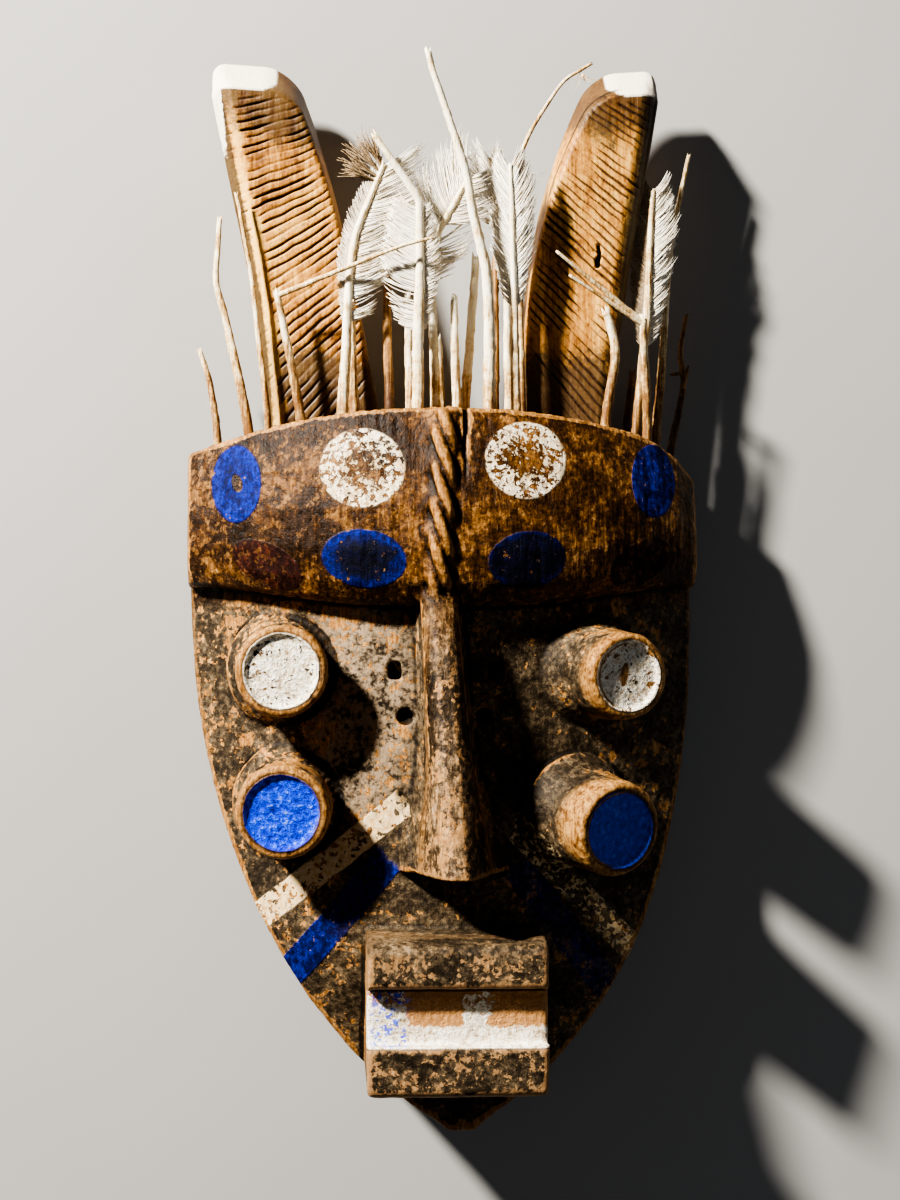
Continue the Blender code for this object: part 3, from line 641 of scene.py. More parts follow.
def horn_mesh(name, side, middles, widths, tip_y, band, slants, corners, seed):
    root_x, middle_x, tip_x = middles
    root_w, middle_w, tip_w = widths
    pull = 2 * middle_x - (root_x + tip_x) / 2
    length = tip_y - HORN_ROOT

    def centre(t):
        return root_x * (1 - t) ** 2 + 2 * t * (1 - t) * pull + tip_x * t * t

    def width(t):
        upper = mix(middle_w, tip_w, np.clip(t * 2 - 1, 0, 1) ** 2.6)
        return np.where(t < 0.5, mix(root_w, middle_w, smooth(t * 2)), upper)

    def sawn(x, z):
        outer = tip_x + side * tip_w / 2
        return tip_y - 0.4 + END_TILT * side * (x - outer) - END_BEVEL * (z - HORN_BACK) / HORN_THICK

    rings = []
    for t in np.linspace(0, 1, BLADE_ROWS):
        section = blade_section(float(width(t)))
        left, right = (end_inset(length * (1 - t), radius) for radius in corners)
        half = width(t) / 2
        share = (section[:, 0] + half) / (2 * half)
        x = centre(t) + mix(-half + left, half - right, share)
        z = HORN_BACK + section[:, 1]
        y = HORN_ROOT + t * (sawn(x, z) - HORN_ROOT)
        rings.append(np.column_stack([x, y, z, section[:, 2], section[:, 3]]))
    count = len(rings[0])
    last = rings[-1]
    heart = (last[:, :3].min(0) + last[:, :3].max(0)) / 2
    for shrink in (0.91, 0.8, 0.6, 0.4, 0.15):
        ring = last.copy()
        ring[:, :3] = mix(heart, last[:, :3], shrink)
        ring[:, 1] = sawn(ring[:, 0], ring[:, 2])
        ring[:, 3:] = 0
        rings.append(ring)
    data = np.vstack(rings)
    points = data[:, :3]
    t = np.clip((points[:, 1] - HORN_ROOT) / length, 0, 1)
    u = (points[:, 0] - centre(t)) / width(t)
    slope = np.tan(np.radians(mix(slants[1], slants[0], t))) * np.minimum(smooth(t / 0.1), 1)
    wander = 1.5 * lumps(points, (22, 44, 99), seed) + 0.6 * lumps(points, (6, 5, 99), seed + 4)
    wander -= 9.0 * u * u
    along = t + (side * u * width(t) * slope + wander) / length
    eased = np.clip((along - GROOVE_START) / (GROOVE_END - GROOVE_START), 0, 1)
    reach = 1 + GROOVE_CROWDING
    crowded = (reach - np.sqrt(reach ** 2 - 4 * GROOVE_CROWDING * eased)) / (2 * GROOVE_CROWDING)
    place = crowded * HORN_GROOVES
    number = np.floor(place)

    def chance(extra):
        """One random share for each groove."""
        return lattice(number, number * 0, number * 0, seed + extra)

    jitter = 0.16 * (chance(5) - 0.5)
    offset = np.abs(place - number - 0.56 - jitter)
    wide = 0.19 + 0.09 * lumps(points, (9, 12, 99), seed + 9)
    cut = np.clip(1 - offset / wide, 0, 1) ** 0.9
    cut *= 0.45 + 0.75 * chance(6)
    cut *= (eased > 0) * (eased < 1)
    depth_here = 0.72 + 0.75 * lumps(points, (10, 14, 50), seed + 1)
    depth_here *= smooth((0.5 - np.abs(u)) * width(t) / 5.0) * 0.6 + 0.4
    facing = np.clip(data[:, 4], 0, 1)
    from_top = HORN_BACK + HORN_THICK - points[:, 2]
    on_side = smooth((7.5 - from_top) / 3.5) * (np.abs(data[:, 3]) > 0.2) * (u * 2 * side > 0)
    cut *= np.clip(facing + 0.8 * on_side, 0, 1) * np.clip(depth_here, 0.2, 1.3)
    ragged = band + 4.0 * (chance(8) - 0.5)
    strip = smooth((u * side - (0.5 - ragged / width(t))) * width(t) / 3.0)
    ticks = smooth((2.6 - np.abs((0.5 - u * side) * width(t) - 2.5)) / 1.0)
    cut *= np.clip(1 - strip + 0.55 * ticks, 0, 1)
    ring_number = np.repeat(np.arange(len(rings)), count)
    cut *= np.clip((BLADE_ROWS - 8 - ring_number) / 4, 0, 1)
    rough = 0.30 * layered(points, (9, 26, 9), seed + 2, 3)
    rough += 0.12 * layered(points, (1.6, 9, 1.6), seed + 3, 2)
    slit_x, slit_y, slit_half, slit_reach = HORN_SLIT
    from_slit = np.abs(points[:, 0] - (slit_x + 0.6 * lumps(points * UP_ONLY, 4.0, seed + 12)))
    slit = np.clip(1.5 - from_slit / slit_half / (0.7 + 0.4 * (points[:, 1] < slit_y)), 0, 1)
    slit *= np.clip(3.0 * (1 - np.abs(points[:, 1] - slit_y) / slit_reach), 0, 1) * facing
    move = rough - GROOVE_DEPTH * cut - 0.3 - SLIT_DEPTH * slit
    points[:, 2] -= planed(points, u, side, width(t))
    points = points + np.column_stack([data[:, 3], np.zeros(len(data)), data[:, 4]]) * move[:, None]
    total = len(rings)
    ring, item = np.meshgrid(np.arange(total - 1), np.arange(count), indexing="ij")
    after = (item + 1) % count
    here, above = ring * count, (ring + 1) * count
    quads = np.stack([here + item, above + item, above + after, here + after], -1)
    mesh = bpy.data.meshes.new(name)
    lids = [list(range(count)), [(total - 1) * count + k for k in range(count)][::-1]]
    mesh.from_pydata([(0, 0, 0)] * len(points), [], quads.reshape(-1, 4).tolist() + lids)
    put_corners(mesh, points)
    carry(mesh, "strip", np.clip(strip, 0, 1))
    carry(mesh, "from_edge", np.clip((0.5 - u * side) * width(t), 0, 12))
    carry(mesh, "cut", np.clip(cut, 0, 1))
    carry(mesh, "slit", np.clip(slit, 0, 1))
    carry(mesh, "sawn_end", np.repeat(np.arange(total) >= BLADE_ROWS - 3, count))
    check = bmesh.new()
    check.from_mesh(mesh)
    bmesh.ops.recalc_face_normals(check, faces=check.faces)
    check.to_mesh(mesh)
    check.free()
    mesh.shade_smooth()
    return linked(name, mesh)


horns = [horn_mesh(name, *sizes, 300 + 20 * k) for k, (name, sizes) in enumerate(HORNS.items())]
print("horn faces:", [len(h.data.polygons) for h in horns])

# %% [markdown]
# ## Worn, painted wood
# The face carries a dark crust of old smoke and oil that has flaked off in
# small sharp-edged chips down to tan wood. Chalky white, laundry blue and a
# dark red were dabbed on as ovals and bars, and have worn through to the crust.
# Each mark is an outline whose edge is shaken by noise, times a cover that
# breaks up where the paint has gone.


# %% Outlines of painted marks
def oval(x, y, middle_x, middle_y, half_x, half_y, tilt=0.0):
    """1 on the edge of a tilted oval, less inside, more outside."""
    turn = math.radians(tilt)
    dx = x - middle_x
    dy = y - middle_y
    along = (dx * math.cos(turn) + dy * math.sin(turn)) / half_x
    beside = (dy * math.cos(turn) - dx * math.sin(turn)) / half_y
    return (along * along + beside * beside).root()


def bar(x, y, start, end, half):
    """The same for a straight bar with blunt ends."""
    run = math.hypot(end[0] - start[0], end[1] - start[1])
    way = ((end[0] - start[0]) / run, (end[1] - start[1]) / run)
    dx = x - (start[0] + end[0]) / 2
    dy = y - (start[1] + end[1]) / 2
    along = abs(dx * way[0] + dy * way[1]) / (run / 2)
    beside = abs(dy * way[0] - dx * way[1]) / half
    return along.most(beside)


def inside(edge, shake, sharp=0.03):
    return (edge + shake).rise(1 + sharp, 1 - sharp)


WHITE_OVALS = ((-40.0, 61.7, 19.7, 18.7), (36.8, 65.6, 19.2, 18.2))
BLUE_OVALS = (
    (-99.4, 55.2, 11.9, 18.6, 0), (100.3, 57.2, 11.5, 17.7, 0),
    (-39.1, 19.2, 19.7, 13.6, -8), (37.2, 18.7, 18.7, 13.3, 8),
)
RED_OVALS = ((-84.6, 16.6, 18.0, 9.6, -28), (93.0, 17.7, 17.0, 9.6, 28))
WHITE_BARS = (((-21.5, -97.0), (-92.5, -155.0)), ((29.7, -104.0), (90.7, -168.0)))
BLUE_BARS = (((-27.0, -122.5), (-76.5, -181.5)), ((32.7, -126.0), (78.7, -186.0)))

print("marks:", len(WHITE_OVALS) + len(BLUE_OVALS) + len(RED_OVALS), "ovals, 4 bars")

# %% Noises and zones of the face
wood = Recipe("painted_wood")
where, x, y, z = wood.place()
ragged = wood.shaken(where, 3.0, 3.2, 20.0)
along_grain = wood.stretched(where, 1.0, 0.14, 1.0)
fine_grain = wood.grain(along_grain, 1.3, 5.0, 0.6, 1.0)
broad_grain = wood.grain(along_grain, 6.0, 4.0, 0.6, 2.0, 0.6)
cloud = wood.grain(where, 34.0, 4.0, 0.6, 3.0)
blotch = wood.grain(where, 9.0, 5.0, 0.62, 4.0, 0.4)
speck = wood.grain(where, 2.6, 4.0, 0.62, 5.0, 0.3)
grit = wood.grain(where, 0.7, 3.0, 0.6, 6.0)
small_flake = wood.flake(ragged, 1.9, 1.0)
large_flake = wood.flake(ragged, 4.6, 2.0)
worn = wood.value("ridge_wear")
facing = wood.value("facing")
steep = facing.rise(0.45, 0.15)
brow_zone = y.rise(-6, 3) * z.rise(14, 24)
nose_zone = abs(x + 1).rise(30, 16) * z.rise(84, 98) * y.rise(-134, -126) * y.rise(12, 2)
lip_zone = z.rise(88, 96) * y.rise(-150, -156)
side_zone = z.rise(20, 10)
print("noises and zones:", len(wood.tree.nodes), "nodes")

# %% [markdown]
# Three skins lie over the bare wood: a grey crust on the cheeks, polished brown
# on the brow, and a rubbed grey brown on the nose.

# %% Crust, polish and bare wood
crust = wood.ramp(
    (cloud * 0.45 + blotch * 0.5 + speck * 0.6 + grit * 0.3 - 0.425).rise(0.2, 0.8),
    (0.0, 20, 15, 10), (0.38, 56, 46, 34), (0.68, 98, 83, 64), (1.0, 146, 128, 102),
)
dust = (blotch * 0.6 + speck * 0.7 + cloud * 0.2).rise(0.62, 0.82)
dusty = oval(x, y, -40.0, -48.0, 30.0, 66.0).rise(1.1, 0.5) * dust
crust = wood.blend(crust, colour(176, 154, 128), dusty * 0.62)
dark_nose = nose_zone * (y.rise(-100, -40) * 0.10 + abs(x + 1).rise(5, 15) * 0.17 - 0.03)
# Painted shade: the brow's left end, which the lamp lights most, is made darker.
painted_shade_on_lit_side = brow_zone * x.rise(20, -60) * 0.07
brow_share = fine_grain * 0.45 + speck * 0.6 + blotch * 0.5 + cloud * 0.6 + grit * 0.25
brow_share = (brow_share - 0.70 - dark_nose - painted_shade_on_lit_side).rise(0.15, 0.85)
brown = wood.ramp(
    brow_share,
    (0.0, 20, 11, 5), (0.35, 52, 32, 15), (0.65, 92, 60, 29), (1.0, 158, 112, 62),
)
nose_skin = wood.ramp(
    brow_share,
    (0.0, 18, 12, 8), (0.38, 66, 52, 37), (0.66, 120, 98, 74), (1.0, 190, 166, 134),
)
polished = (brow_zone + nose_zone + side_zone * 0.6).least(1.0)
skin_colour = wood.blend(wood.blend(crust, brown, polished), nose_skin, nose_zone)
bare = wood.ramp(
    (fine_grain * 0.7 + speck * 0.4 - 0.05).rise(0.25, 0.8),
    (0.0, 98, 66, 36), (0.5, 166, 120, 70), (1.0, 216, 176, 122),
)
bare = wood.blend(bare, colour(160, 132, 102), lip_zone * 0.45 + nose_zone * 0.3)
print("skins:", len(wood.tree.nodes), "nodes")

# %% [markdown]
# Chips follow the flakes where a slow noise lets them. Rubbing follows the
# edges that stick out, soot and painted shade darken the hollows, and steep
# sides that no hand touches keep their skin.

# %% Chips, rubbed edges, soot and painted shade
flaking = (cloud - 0.5) * 1.15 + (blotch - 0.5) * 1.0 + (speck - 0.5) * 0.3
flaking = flaking + ((speck - 0.5) * 0.9 - (blotch - 0.5) * 0.45) * lip_zone
left_side = x.rise(0, -115) * 0.13 + lip_zone * 0.08 - 0.01
small_chips = (small_flake * 0.8 + flaking + left_side).rise(0.76, 0.79)
large_chips = (large_flake * 0.8 + flaking * 1.2 + left_side).rise(0.86, 0.88)
chips = small_chips.most(large_chips) * (1 - 0.7 * polished)
chips = chips * (1 - (speck * 0.8 + grit * 0.4).rise(0.76, 0.82) * 0.8)
scratches = (fine_grain + 0.35 * cloud).rise(0.82, 0.92) * polished * 0.6
nose_wear = small_flake * 0.35 + large_flake * 0.35 + blotch * 0.5 + y.rise(-30, -110) * 0.2
nose_wear = nose_zone * (nose_wear - abs(x + 1).rise(4, 14) * 0.16).rise(0.80, 0.83)
rub_noise = speck * 0.8 + blotch * 0.8
near_hole = abs(abs(x + 0.8) - 21.0).rise(9, 7) * y.rise(-64, -62) * y.rise(-24, -26) * z.rise(95, 90)
rubbed = (worn.least(0.55) * 1.3 + rub_noise - 1.02).rise(0.05, 0.32) * z.rise(18, 40) * (1 - near_hole)
rubbed = rubbed * (1 - steep * (0.2 + 0.65 * y.rise(-6, 3)))
rope = abs(x + 2.8).rise(9, 7) * brow_zone * z.rise(80, 86)
rubbed = rubbed.most(rope * (worn + speck * 0.4 + blotch * 0.3).rise(0.38, 0.75) * 0.8)
# Soot and painted shade: darker in the hollows, where the skin sinks below its neighbours.
soot_and_painted_shade = (0.05 - worn * 1.5 + 0.12 * (blotch - 0.5)).rise(0.2, 0.7)
# Painted shade of the forehead crack.
split = wood.value("split")
black_specks = (grit * 0.6 + speck * 0.6).rise(0.50, 0.40)
bare_share = chips.most(scratches * 0.5).most(rubbed * 0.9).most(nose_wear * 0.9)
wood.coat = skin_colour
wood.lay(bare, bare_share)
# Near black: soot and painted shade in the hollows, black specks, and the painted shade of the forehead
# crack.
wood.lay(colour(20, 13, 8), (soot_and_painted_shade * 0.9).most(black_specks * 0.7).most(split))
print("wear:", len(wood.tree.nodes), "nodes")

# %% Paint on brow and cheeks
shake = (blotch - 0.5) * 0.22 + (speck - 0.5) * 0.12
flakes = (small_flake * 0.4 + speck * 0.3 + blotch * 0.6 + cloud * 0.2).rise(0.84, 0.87)
white_flake = small_flake * 0.16 + speck * 0.75 + blotch * 0.35 + grit * 0.3


def most_of(wires):
    """The greatest of several wires."""
    first, *rest = wires
    for wire in rest:
        first = first.most(wire)
    return first


def chalked_oval(sizes):
    """One white oval, most worn at its middle."""
    edge = oval(x, y, *sizes)
    gone = (white_flake + edge.rise(0.8, 0.2) * 0.13).rise(0.785, 0.845)
    return inside(edge, shake * 0.5) * (1 - gone)


def bars(ends_of_each, half):
    """Ragged bars, which stop where the wood turns away."""
    ragged_bars = (inside(bar(x, y, *ends, half), shake * 1.7, 0.06) for ends in ends_of_each)
    return most_of(ragged_bars) * (1 - steep)


right_worn = x.rise(0, 10) * (small_flake * 0.3 + speck * 0.6 + blotch * 0.4).rise(0.56, 0.62)
white_bars = bars(WHITE_BARS, 6.4) * (1 - flakes) * (1 - right_worn * 0.9)
white = most_of(chalked_oval(sizes) for sizes in WHITE_OVALS).most(white_bars)
bare_patch = oval(x, y, -99.0, 55.5, 2.6, 4.4, 14)
blue = most_of(inside(oval(x, y, *sizes), shake * 0.5) for sizes in BLUE_OVALS)
blue = blue * (bare_patch + shake).rise(0.95, 1.05)
blue = blue.most(bars(BLUE_BARS, 7.4) * (1 - right_worn * 0.6))
blue_gaps = (small_flake * 0.3 + speck * 0.6 + blotch * 0.4 + fine_grain * 0.2).rise(0.93, 0.98)
blue = blue * (1 - blue_gaps * 0.9)
red = most_of(inside(oval(x, y, *sizes), shake * 0.7) for sizes in RED_OVALS) * (1 - flakes * 0.5)
off_tubes = z.rise(94, 88).most(brow_zone)
worn_blue = (speck * 0.6 + blotch * 0.5 + fine_grain * 0.3 + grit * 0.2 - 0.1).rise(0.42, 0.95)
blue_paint = wood.ramp(worn_blue, (0.0, 2, 3, 20), (0.45, 6, 16, 84), (1.0, 26, 54, 176))
red_paint = wood.ramp(worn_blue, (0.0, 14, 4, 2), (0.6, 42, 12, 7), (1.0, 92, 44, 30))
white_paint = wood.ramp(
    speck * 0.7 + blotch * 0.3, (0.34, 160, 126, 84), (0.48, 234, 218, 188), (0.6, 255, 251, 240),
)
wood.lay(red_paint, red * 0.92)
# Worn paint and painted shade: the inner blue ovals go near black in their middles and more so on the
# right, where the brow is in shade.
inner_edge = oval(x, y, *BLUE_OVALS[2]).least(oval(x, y, *BLUE_OVALS[3]))
darker_middle_and_right = (0.95 - inner_edge) * 0.9 + x.rise(-5, 15) * 0.25
faded_and_painted_shade = (darker_middle_and_right + blotch * 1.5 + speck * 0.8 - 1.15).rise(0.05, 0.35) * inner_edge.rise(1.3, 1.2)
faded_and_painted_shade = faded_and_painted_shade.most((cloud * 0.4 + blotch * 0.7 + speck * 0.4 - 0.12).rise(0.66, 0.86) * 0.8)
blue_paint = wood.blend(blue_paint, colour(4, 4, 9), faded_and_painted_shade * 0.93)
wood.lay(blue_paint, blue * off_tubes)
bar_zone = y.rise(-80, -90)
cream = wood.blend(white_paint, colour(208, 172, 116), bar_zone * (0.35 + 0.6 * blotch))
wood.lay(cream, white * off_tubes)
print("paint:", len(wood.tree.nodes), "nodes")


# %% Painted tube ends
def end_disc(number, reach_share=0.82):
    """Where the dish of one tube eye is."""
    tube_x, tube_y, radius, lean, dip = TUBES[number]
    reach = radius * reach_share
    across_reach = reach * math.cos(math.radians(lean))
    dish = inside(oval(x, y, tube_x, tube_y, across_reach, reach), shake * 0.35, 0.03)
    return dish * facing.rise(0.5, 0.7) * z.rise(68, 74)


tube_tops = z.rise(86, 94) * (1 - (brow_zone + nose_zone + lip_zone).least(1.0))
rim_wood = wood.ramp(
    (fine_grain * 0.5 + speck * 0.5 + blotch * 0.3 - 0.1).rise(0.25, 0.8),
    (0.0, 34, 22, 12), (0.35, 122, 82, 44), (1.0, 214, 166, 104),
)
wood.lay(rim_wood, tube_tops * 0.9)
chalk_gaps = (small_flake * 0.22 + speck * 0.75 + grit * 0.3 + blotch * 0.15).rise(0.79, 0.86)
patch = (large_flake * 0.4 + blotch * 0.9).rise(0.84, 0.87)
patch = patch.most(inside(oval(x, y, 82.4, -35.0, 1.9, 5.6, -8), shake * 2.2, 0.1))
chalk = wood.ramp(
    (speck * 0.7 + grit * 0.5 + blotch * 0.3).rise(0.52, 0.98),
    (0.0, 150, 122, 88), (0.4, 232, 220, 198), (0.8, 255, 252, 244),
)
end_blue = wood.ramp(
    (speck * 0.8 + grit * 0.4 + blotch * 0.3).rise(0.45, 1.05),
    (0.0, 5, 12, 76), (0.35, 14, 42, 190), (0.68, 40, 84, 240), (1.0, 158, 184, 252),
)
for number in (0, 2):
    wood.lay(DEEP_BROWN, end_disc(number, 0.86) * 0.6)
    share = end_disc(number) * (1 - chalk_gaps)
    wood.lay(chalk, share * (1 - patch) if number == 2 else share)
wood.lay(bare, end_disc(2) * patch * 0.75)
# Painted light: the lower right disc faces away from the lamp, so its blue is made paler.
blue_with_painted_light = wood.blend(end_blue, colour(92, 128, 255), 0.4)
end_gaps = (speck * 0.8 + small_flake * 0.2).rise(0.78, 0.84)
for number, paint in ((1, end_blue), (3, blue_with_painted_light)):
    wood.lay(DEEP_BROWN, end_disc(number, 0.87) * 0.7)
    wood.lay(paint, end_disc(number, 0.80) * (1 - end_gaps))
print("tube ends:", len(TUBES))

# %% Teeth and finish
tooth_band = y.rise(-206.0, -205.0) * y.rise(-179.5, -180.5) * lip_zone
tooth_gaps = (small_flake * 0.25 + speck * 0.4 + blotch * 0.7).rise(0.80, 0.83)
drawn = x + (speck - 0.5) * 9 + (blotch - 0.5) * 8
panels = abs(drawn + 7.0).rise(14.0, 12.0) + abs(drawn - 33.0).rise(15.0, 13.0)
upper_bare = (y + speck * 9 + blotch * 6).rise(-189.5, -188.5)
upper_bare = upper_bare * (panels * 0.5 + blotch * 1.1 + speck * 0.5).rise(0.98, 1.04)
tooth_white = tooth_band * (1 - tooth_gaps * y.rise(-198, -191) * 0.7) * (1 - upper_bare * 0.95)
tooth_white = tooth_white * (1 - y.rise(-188, -185) * (speck * 0.7 + small_flake * 0.3).rise(0.45, 0.5))
wood.lay(wood.blend(bare, colour(206, 144, 78), 0.6), tooth_band * 0.9)
wood.lay(chalk, tooth_white)
blue_flecks = (speck * 0.8 + blotch * 0.3 + small_flake * 0.2).rise(0.68, 0.74)
tooth_blue = tooth_band * abs(x + 28).rise(12, 6) * blue_flecks
wood.lay(end_blue, tooth_blue * 0.9)
lip_root = y.rise(-165, -161) * y.rise(-150, -156) * z.rise(60, 70)
wood.lay(crust, lip_root * 0.8)
discs = most_of(end_disc(number) for number in range(len(TUBES)))
paint_all = (white + blue + red + tooth_white).least(1.0)
roughness = 0.54 - 0.16 * polished + 0.26 * paint_all + 0.25 * (speck - 0.5) - 0.08 * bare_share
height = fine_grain * 0.35 + speck * 0.45 + grit * 0.3 - chips * 0.5 - scratches * 0.25 + paint_all * 0.35
height = height + broad_grain * 0.6 * (brow_zone + nose_zone).least(1.0)
height = height + (speck * 1.0 + blotch * 0.5) * discs.most(tooth_band)
wood.finish(roughness, height, 1.0, 0.0009, 0.16)
wear(block, wood)

# %% [markdown]
# ## Horn wood
# The horns are the same wood, scrubbed paler, darker in the grooves and in
# patches towards the tip, and white on the sawn ends and the upper edge.

# %% Horn finish
horn_wood = Recipe("horn_wood")
where, x, y, z = horn_wood.place()
along_grain = horn_wood.stretched(where, 1.0, 0.12, 1.0)
fine = horn_wood.grain(along_grain, 1.1, 5.0, 0.6, 11.0)
broad = horn_wood.grain(along_grain, 7.0, 4.0, 0.6, 12.0, 0.5)
cloud = horn_wood.grain(where, 26.0, 4.0, 0.6, 13.0)
speck = horn_wood.grain(where, 2.4, 4.0, 0.62, 14.0)
grit = horn_wood.grain(where, 0.7, 3.0, 0.6, 15.0)
cut = horn_wood.value("cut")
end = horn_wood.value("sawn_end")
strip = horn_wood.value("strip")
gold_share = (fine * 0.45 + broad * 0.5 + cloud * 0.5 + speck * 0.3 + strip * 0.15 - 0.32).rise(0.2, 0.85)
horn_wood.coat = horn_wood.ramp(
    gold_share,
    (0.0, 76, 46, 20), (0.3, 140, 92, 42), (0.62, 198, 144, 74), (1.0, 240, 196, 118),
)
inner_top = x.rise(-96, -76) * x.rise(-40, -60) * 0.14
# Darker patches, more of them towards the tip and on the inner side near the top.
tip_darkening = y.rise(196, 244) * 0.46 + inner_top * y.rise(170, 220) + cloud * 0.7 + speck * 0.40
tip_darkening = (tip_darkening + broad * 0.2).rise(0.86, 1.08)
root_stain = y.rise(150, 90) * 0.55 + cloud * 0.75 + speck * 0.50 + broad * 0.2
root_stain = root_stain.rise(0.90, 1.10) * (1 - strip * 0.6)
smoke = (cloud * 0.8 + speck * 0.5 + broad * 0.3).rise(0.92, 1.02) * (1 - strip)
horn_wood.lay(colour(52, 30, 12), tip_darkening * 0.85)
horn_wood.lay(colour(60, 46, 32), root_stain.most(smoke * 0.8) * 0.85)
scuffs = (speck * 0.7 + grit * 0.3 + fine * 0.2).rise(0.50, 0.40)
horn_wood.lay(colour(48, 28, 14), scuffs * 0.7)
# Darker in the grooves.
groove_darkening = (cut * 1.5 + speck * 0.35).rise(0.42, 0.85)
horn_wood.lay(colour(50, 26, 10), groove_darkening * 0.88)
from_edge = horn_wood.value("from_edge") + speck * 2.4 - 1.2
horn_wood.lay(colour(44, 28, 15), from_edge.rise(3.6, 2.4) * 0.88)
# Painted shade: the inside of the slit is made near black.
horn_wood.lay(colour(5, 3, 2), horn_wood.value("slit").rise(0.15, 0.5))
chalk_reach = (y - 214) * 0.10
chalk_edge = (chalk_reach - from_edge).rise(0.0, 0.6) * x.rise(0, -10)
chalk_flake = (speck * 0.7 + cloud * 0.3).rise(0.72, 0.62)
corner = (abs(x + 0.5) * 0.62 + y + speck * 6).rise(300.5, 303.0)
chalk_mask = (end * corner).most(chalk_edge) * chalk_flake
horn_wood.lay(CHALK, chalk_mask)
horn_rough = 0.5 + 0.22 * (speck - 0.5) + 0.25 * chalk_mask + 0.15 * groove_darkening
horn_height = fine * 0.5 + speck * 0.45 + grit * 0.2 + chalk_mask * 0.3
horn_wood.finish(horn_rough, horn_height, 0.8, 0.0006)
for horn in horns:
    wear(horn, horn_wood)


# %% [markdown]
# ## Stems
# Every stem is a stalk that narrows, wanders a little and ends in a ragged
# break. The tables hold the same numbers as the solids: where the stem leaves
# the crown as a share of the half width, how deep it stands behind the brow's
# skin, its radius at the foot and the tip, and its bends.

# %% Stem tables
QUILLS = {
    "quill_left_outer": (-0.895, 18.1, 2.3, 1.2, ((-0.3, 8.8), (-3.7, 31.8), (-8.3, 45.8))),
    "quill_left_tall": (-0.766, 21.7, 2.8, 1.2, ((-1, 6.2), (-11.3, 55.2), (-16.8, 76.2), (-14.3, 105.2))),
    "quill_left_thin": (-0.690, 7.9, 1.7, 0.9, ((-0.7, 10), (-5.7, 53), (-8.2, 76), (-15.2, 112))),
    "quill_centre_split": (-0.354, 22.4, 2.6, 2.2, ((-0.1, 7), (-1.9, 55))),
    "quill_centre_brown": (-0.215, 24.8, 2.6, 1.8, ((0, 6), (-1.5, 72.7))),
    "quill_centre_short": (-0.136, 24.0, 2.4, 1.6, ((-0.1, 6), (-0.9, 55.3))),
    "quill_middle_stub": (-0.012, 30.8, 2.4, 1.8, ((-0.1, 6), (-1.8, 35))),
    "quill_middle": (0.045, 19.8, 2.4, 1.8, ((-0.1, 6), (-1.3, 53))),
    "quill_middle_bright": (0.081, 29.6, 2.6, 1.9, ((0.3, 6), (5.3, 74))),
    "quill_long": (0.168, 9.8, 3.3, 1.5, (
        (0, 61.3), (-5.5, 80.3), (-11.3, 113.3), (-25.5, 155.3), (-28.9, 169.5))),
    "quill_right_inner": (0.200, 30.4, 2.4, 1.7, ((0, 6), (0.5, 73.5))),
    "quill_curved": (0.310, 25.2, 1.9, 0.8, (
        (-0.2, 7), (-2.4, 121.4), (3.8, 136.4), (18.8, 160.4), (32.8, 169))),
    "quill_right_bent": (0.634, 10.4, 2.7, 2.0, ((0.3, 6), (5.8, 35.9), (0.3, 54.9))),
    "quill_right_brown": (0.744, 31.7, 2.2, 1.6, ((0.2, 7), (3.2, 31.9))),
    "quill_right_tall": (0.859, 20.1, 2.5, 1.0, ((0.4, 6.7), (4.6, 63.7), (8.9, 108.7), (16.4, 143.7))),
}

# The same, then where the blade starts and ends along the stem and its reach left and right.
FEATHERS = {
    "feather_left": (-0.400, 9.9, 3.0, 1.2, ((0.1, 7.8), (2.9, 59.8), (5.9, 85.8), (19.9, 118.8)),
                     0.42, 1.0, 4.0, 14.0),
    "feather_bent": (-0.110, 10.2, 3.2, 1.6, ((0, 6.2), (1.5, 96.2), (-0.5, 101.2), (-21, 129.2)),
                     0.33, 0.72, 13.0, 6.5),
    "feather_middle": (-0.038, 20.7, 2.8, 1.1, ((0, 6), (-2.5, 77), (16.5, 112)),
                       0.55, 1.0, 11.0, 9.0),
    "feather_downy": (0.253, 23.5, 2.2, 1.0, ((0, 6.9), (-1.2, 72.9), (-9, 121.9)),
                      0.72, 1.0, 9.0, 7.0),
    "feather_right": (0.277, 15.0, 2.6, 1.0, ((0, 7.1), (-2.7, 117.1)), 0.48, 1.0, 7.5, 8.0),
    "feather_far_right": (0.774, 17.6, 2.8, 1.2, ((0.4, 7.8), (4.9, 54.8), (7.9, 120.8)),
                          0.42, 1.0, 6.0, 8.5),
}

# The same as a bare stem, then each branch: its two radii and its bends, from the same point.
FORKED = {
    "quill_left_crossed": (-0.563, 10.0, 2.5, 1.6, ((-0.4, 6.8), (-11.1, 60.8, 3)), (
        (1.5, 0.8, ((-11.1, 59.3, 3), (45.1, 80.8, 19), (61.6, 84.8, 23))),
    )),
    "quill_right_snapped": (0.809, 7.6, 2.5, 1.9, ((0.1, 4.9), (-2.9, 56.9, 6.5)), (
        (1.7, 0.8, ((-2.9, 55.9, 6.5), (-45.4, 87.9, 18.5))),
        (1.3, 0.8, ((-2.9, 54.9, 6.5), (-38.9, 76.9, 16.5))),
    )),
    "twig_right": (0.921, 20.8, 2.2, 1.1, ((0.3, 2.9), (8.0, 37.9), (5.0, 51.9), (8.6, 70.9)), (
        (1.2, 0.8, ((6.8, 32.9), (9.4, 45.9))),
        (1.1, 0.7, ((6.3, 42.9), (1.2, 41.9))),
    )),
}
print(len(QUILLS) + len(FEATHERS) + len(FORKED), "stems")

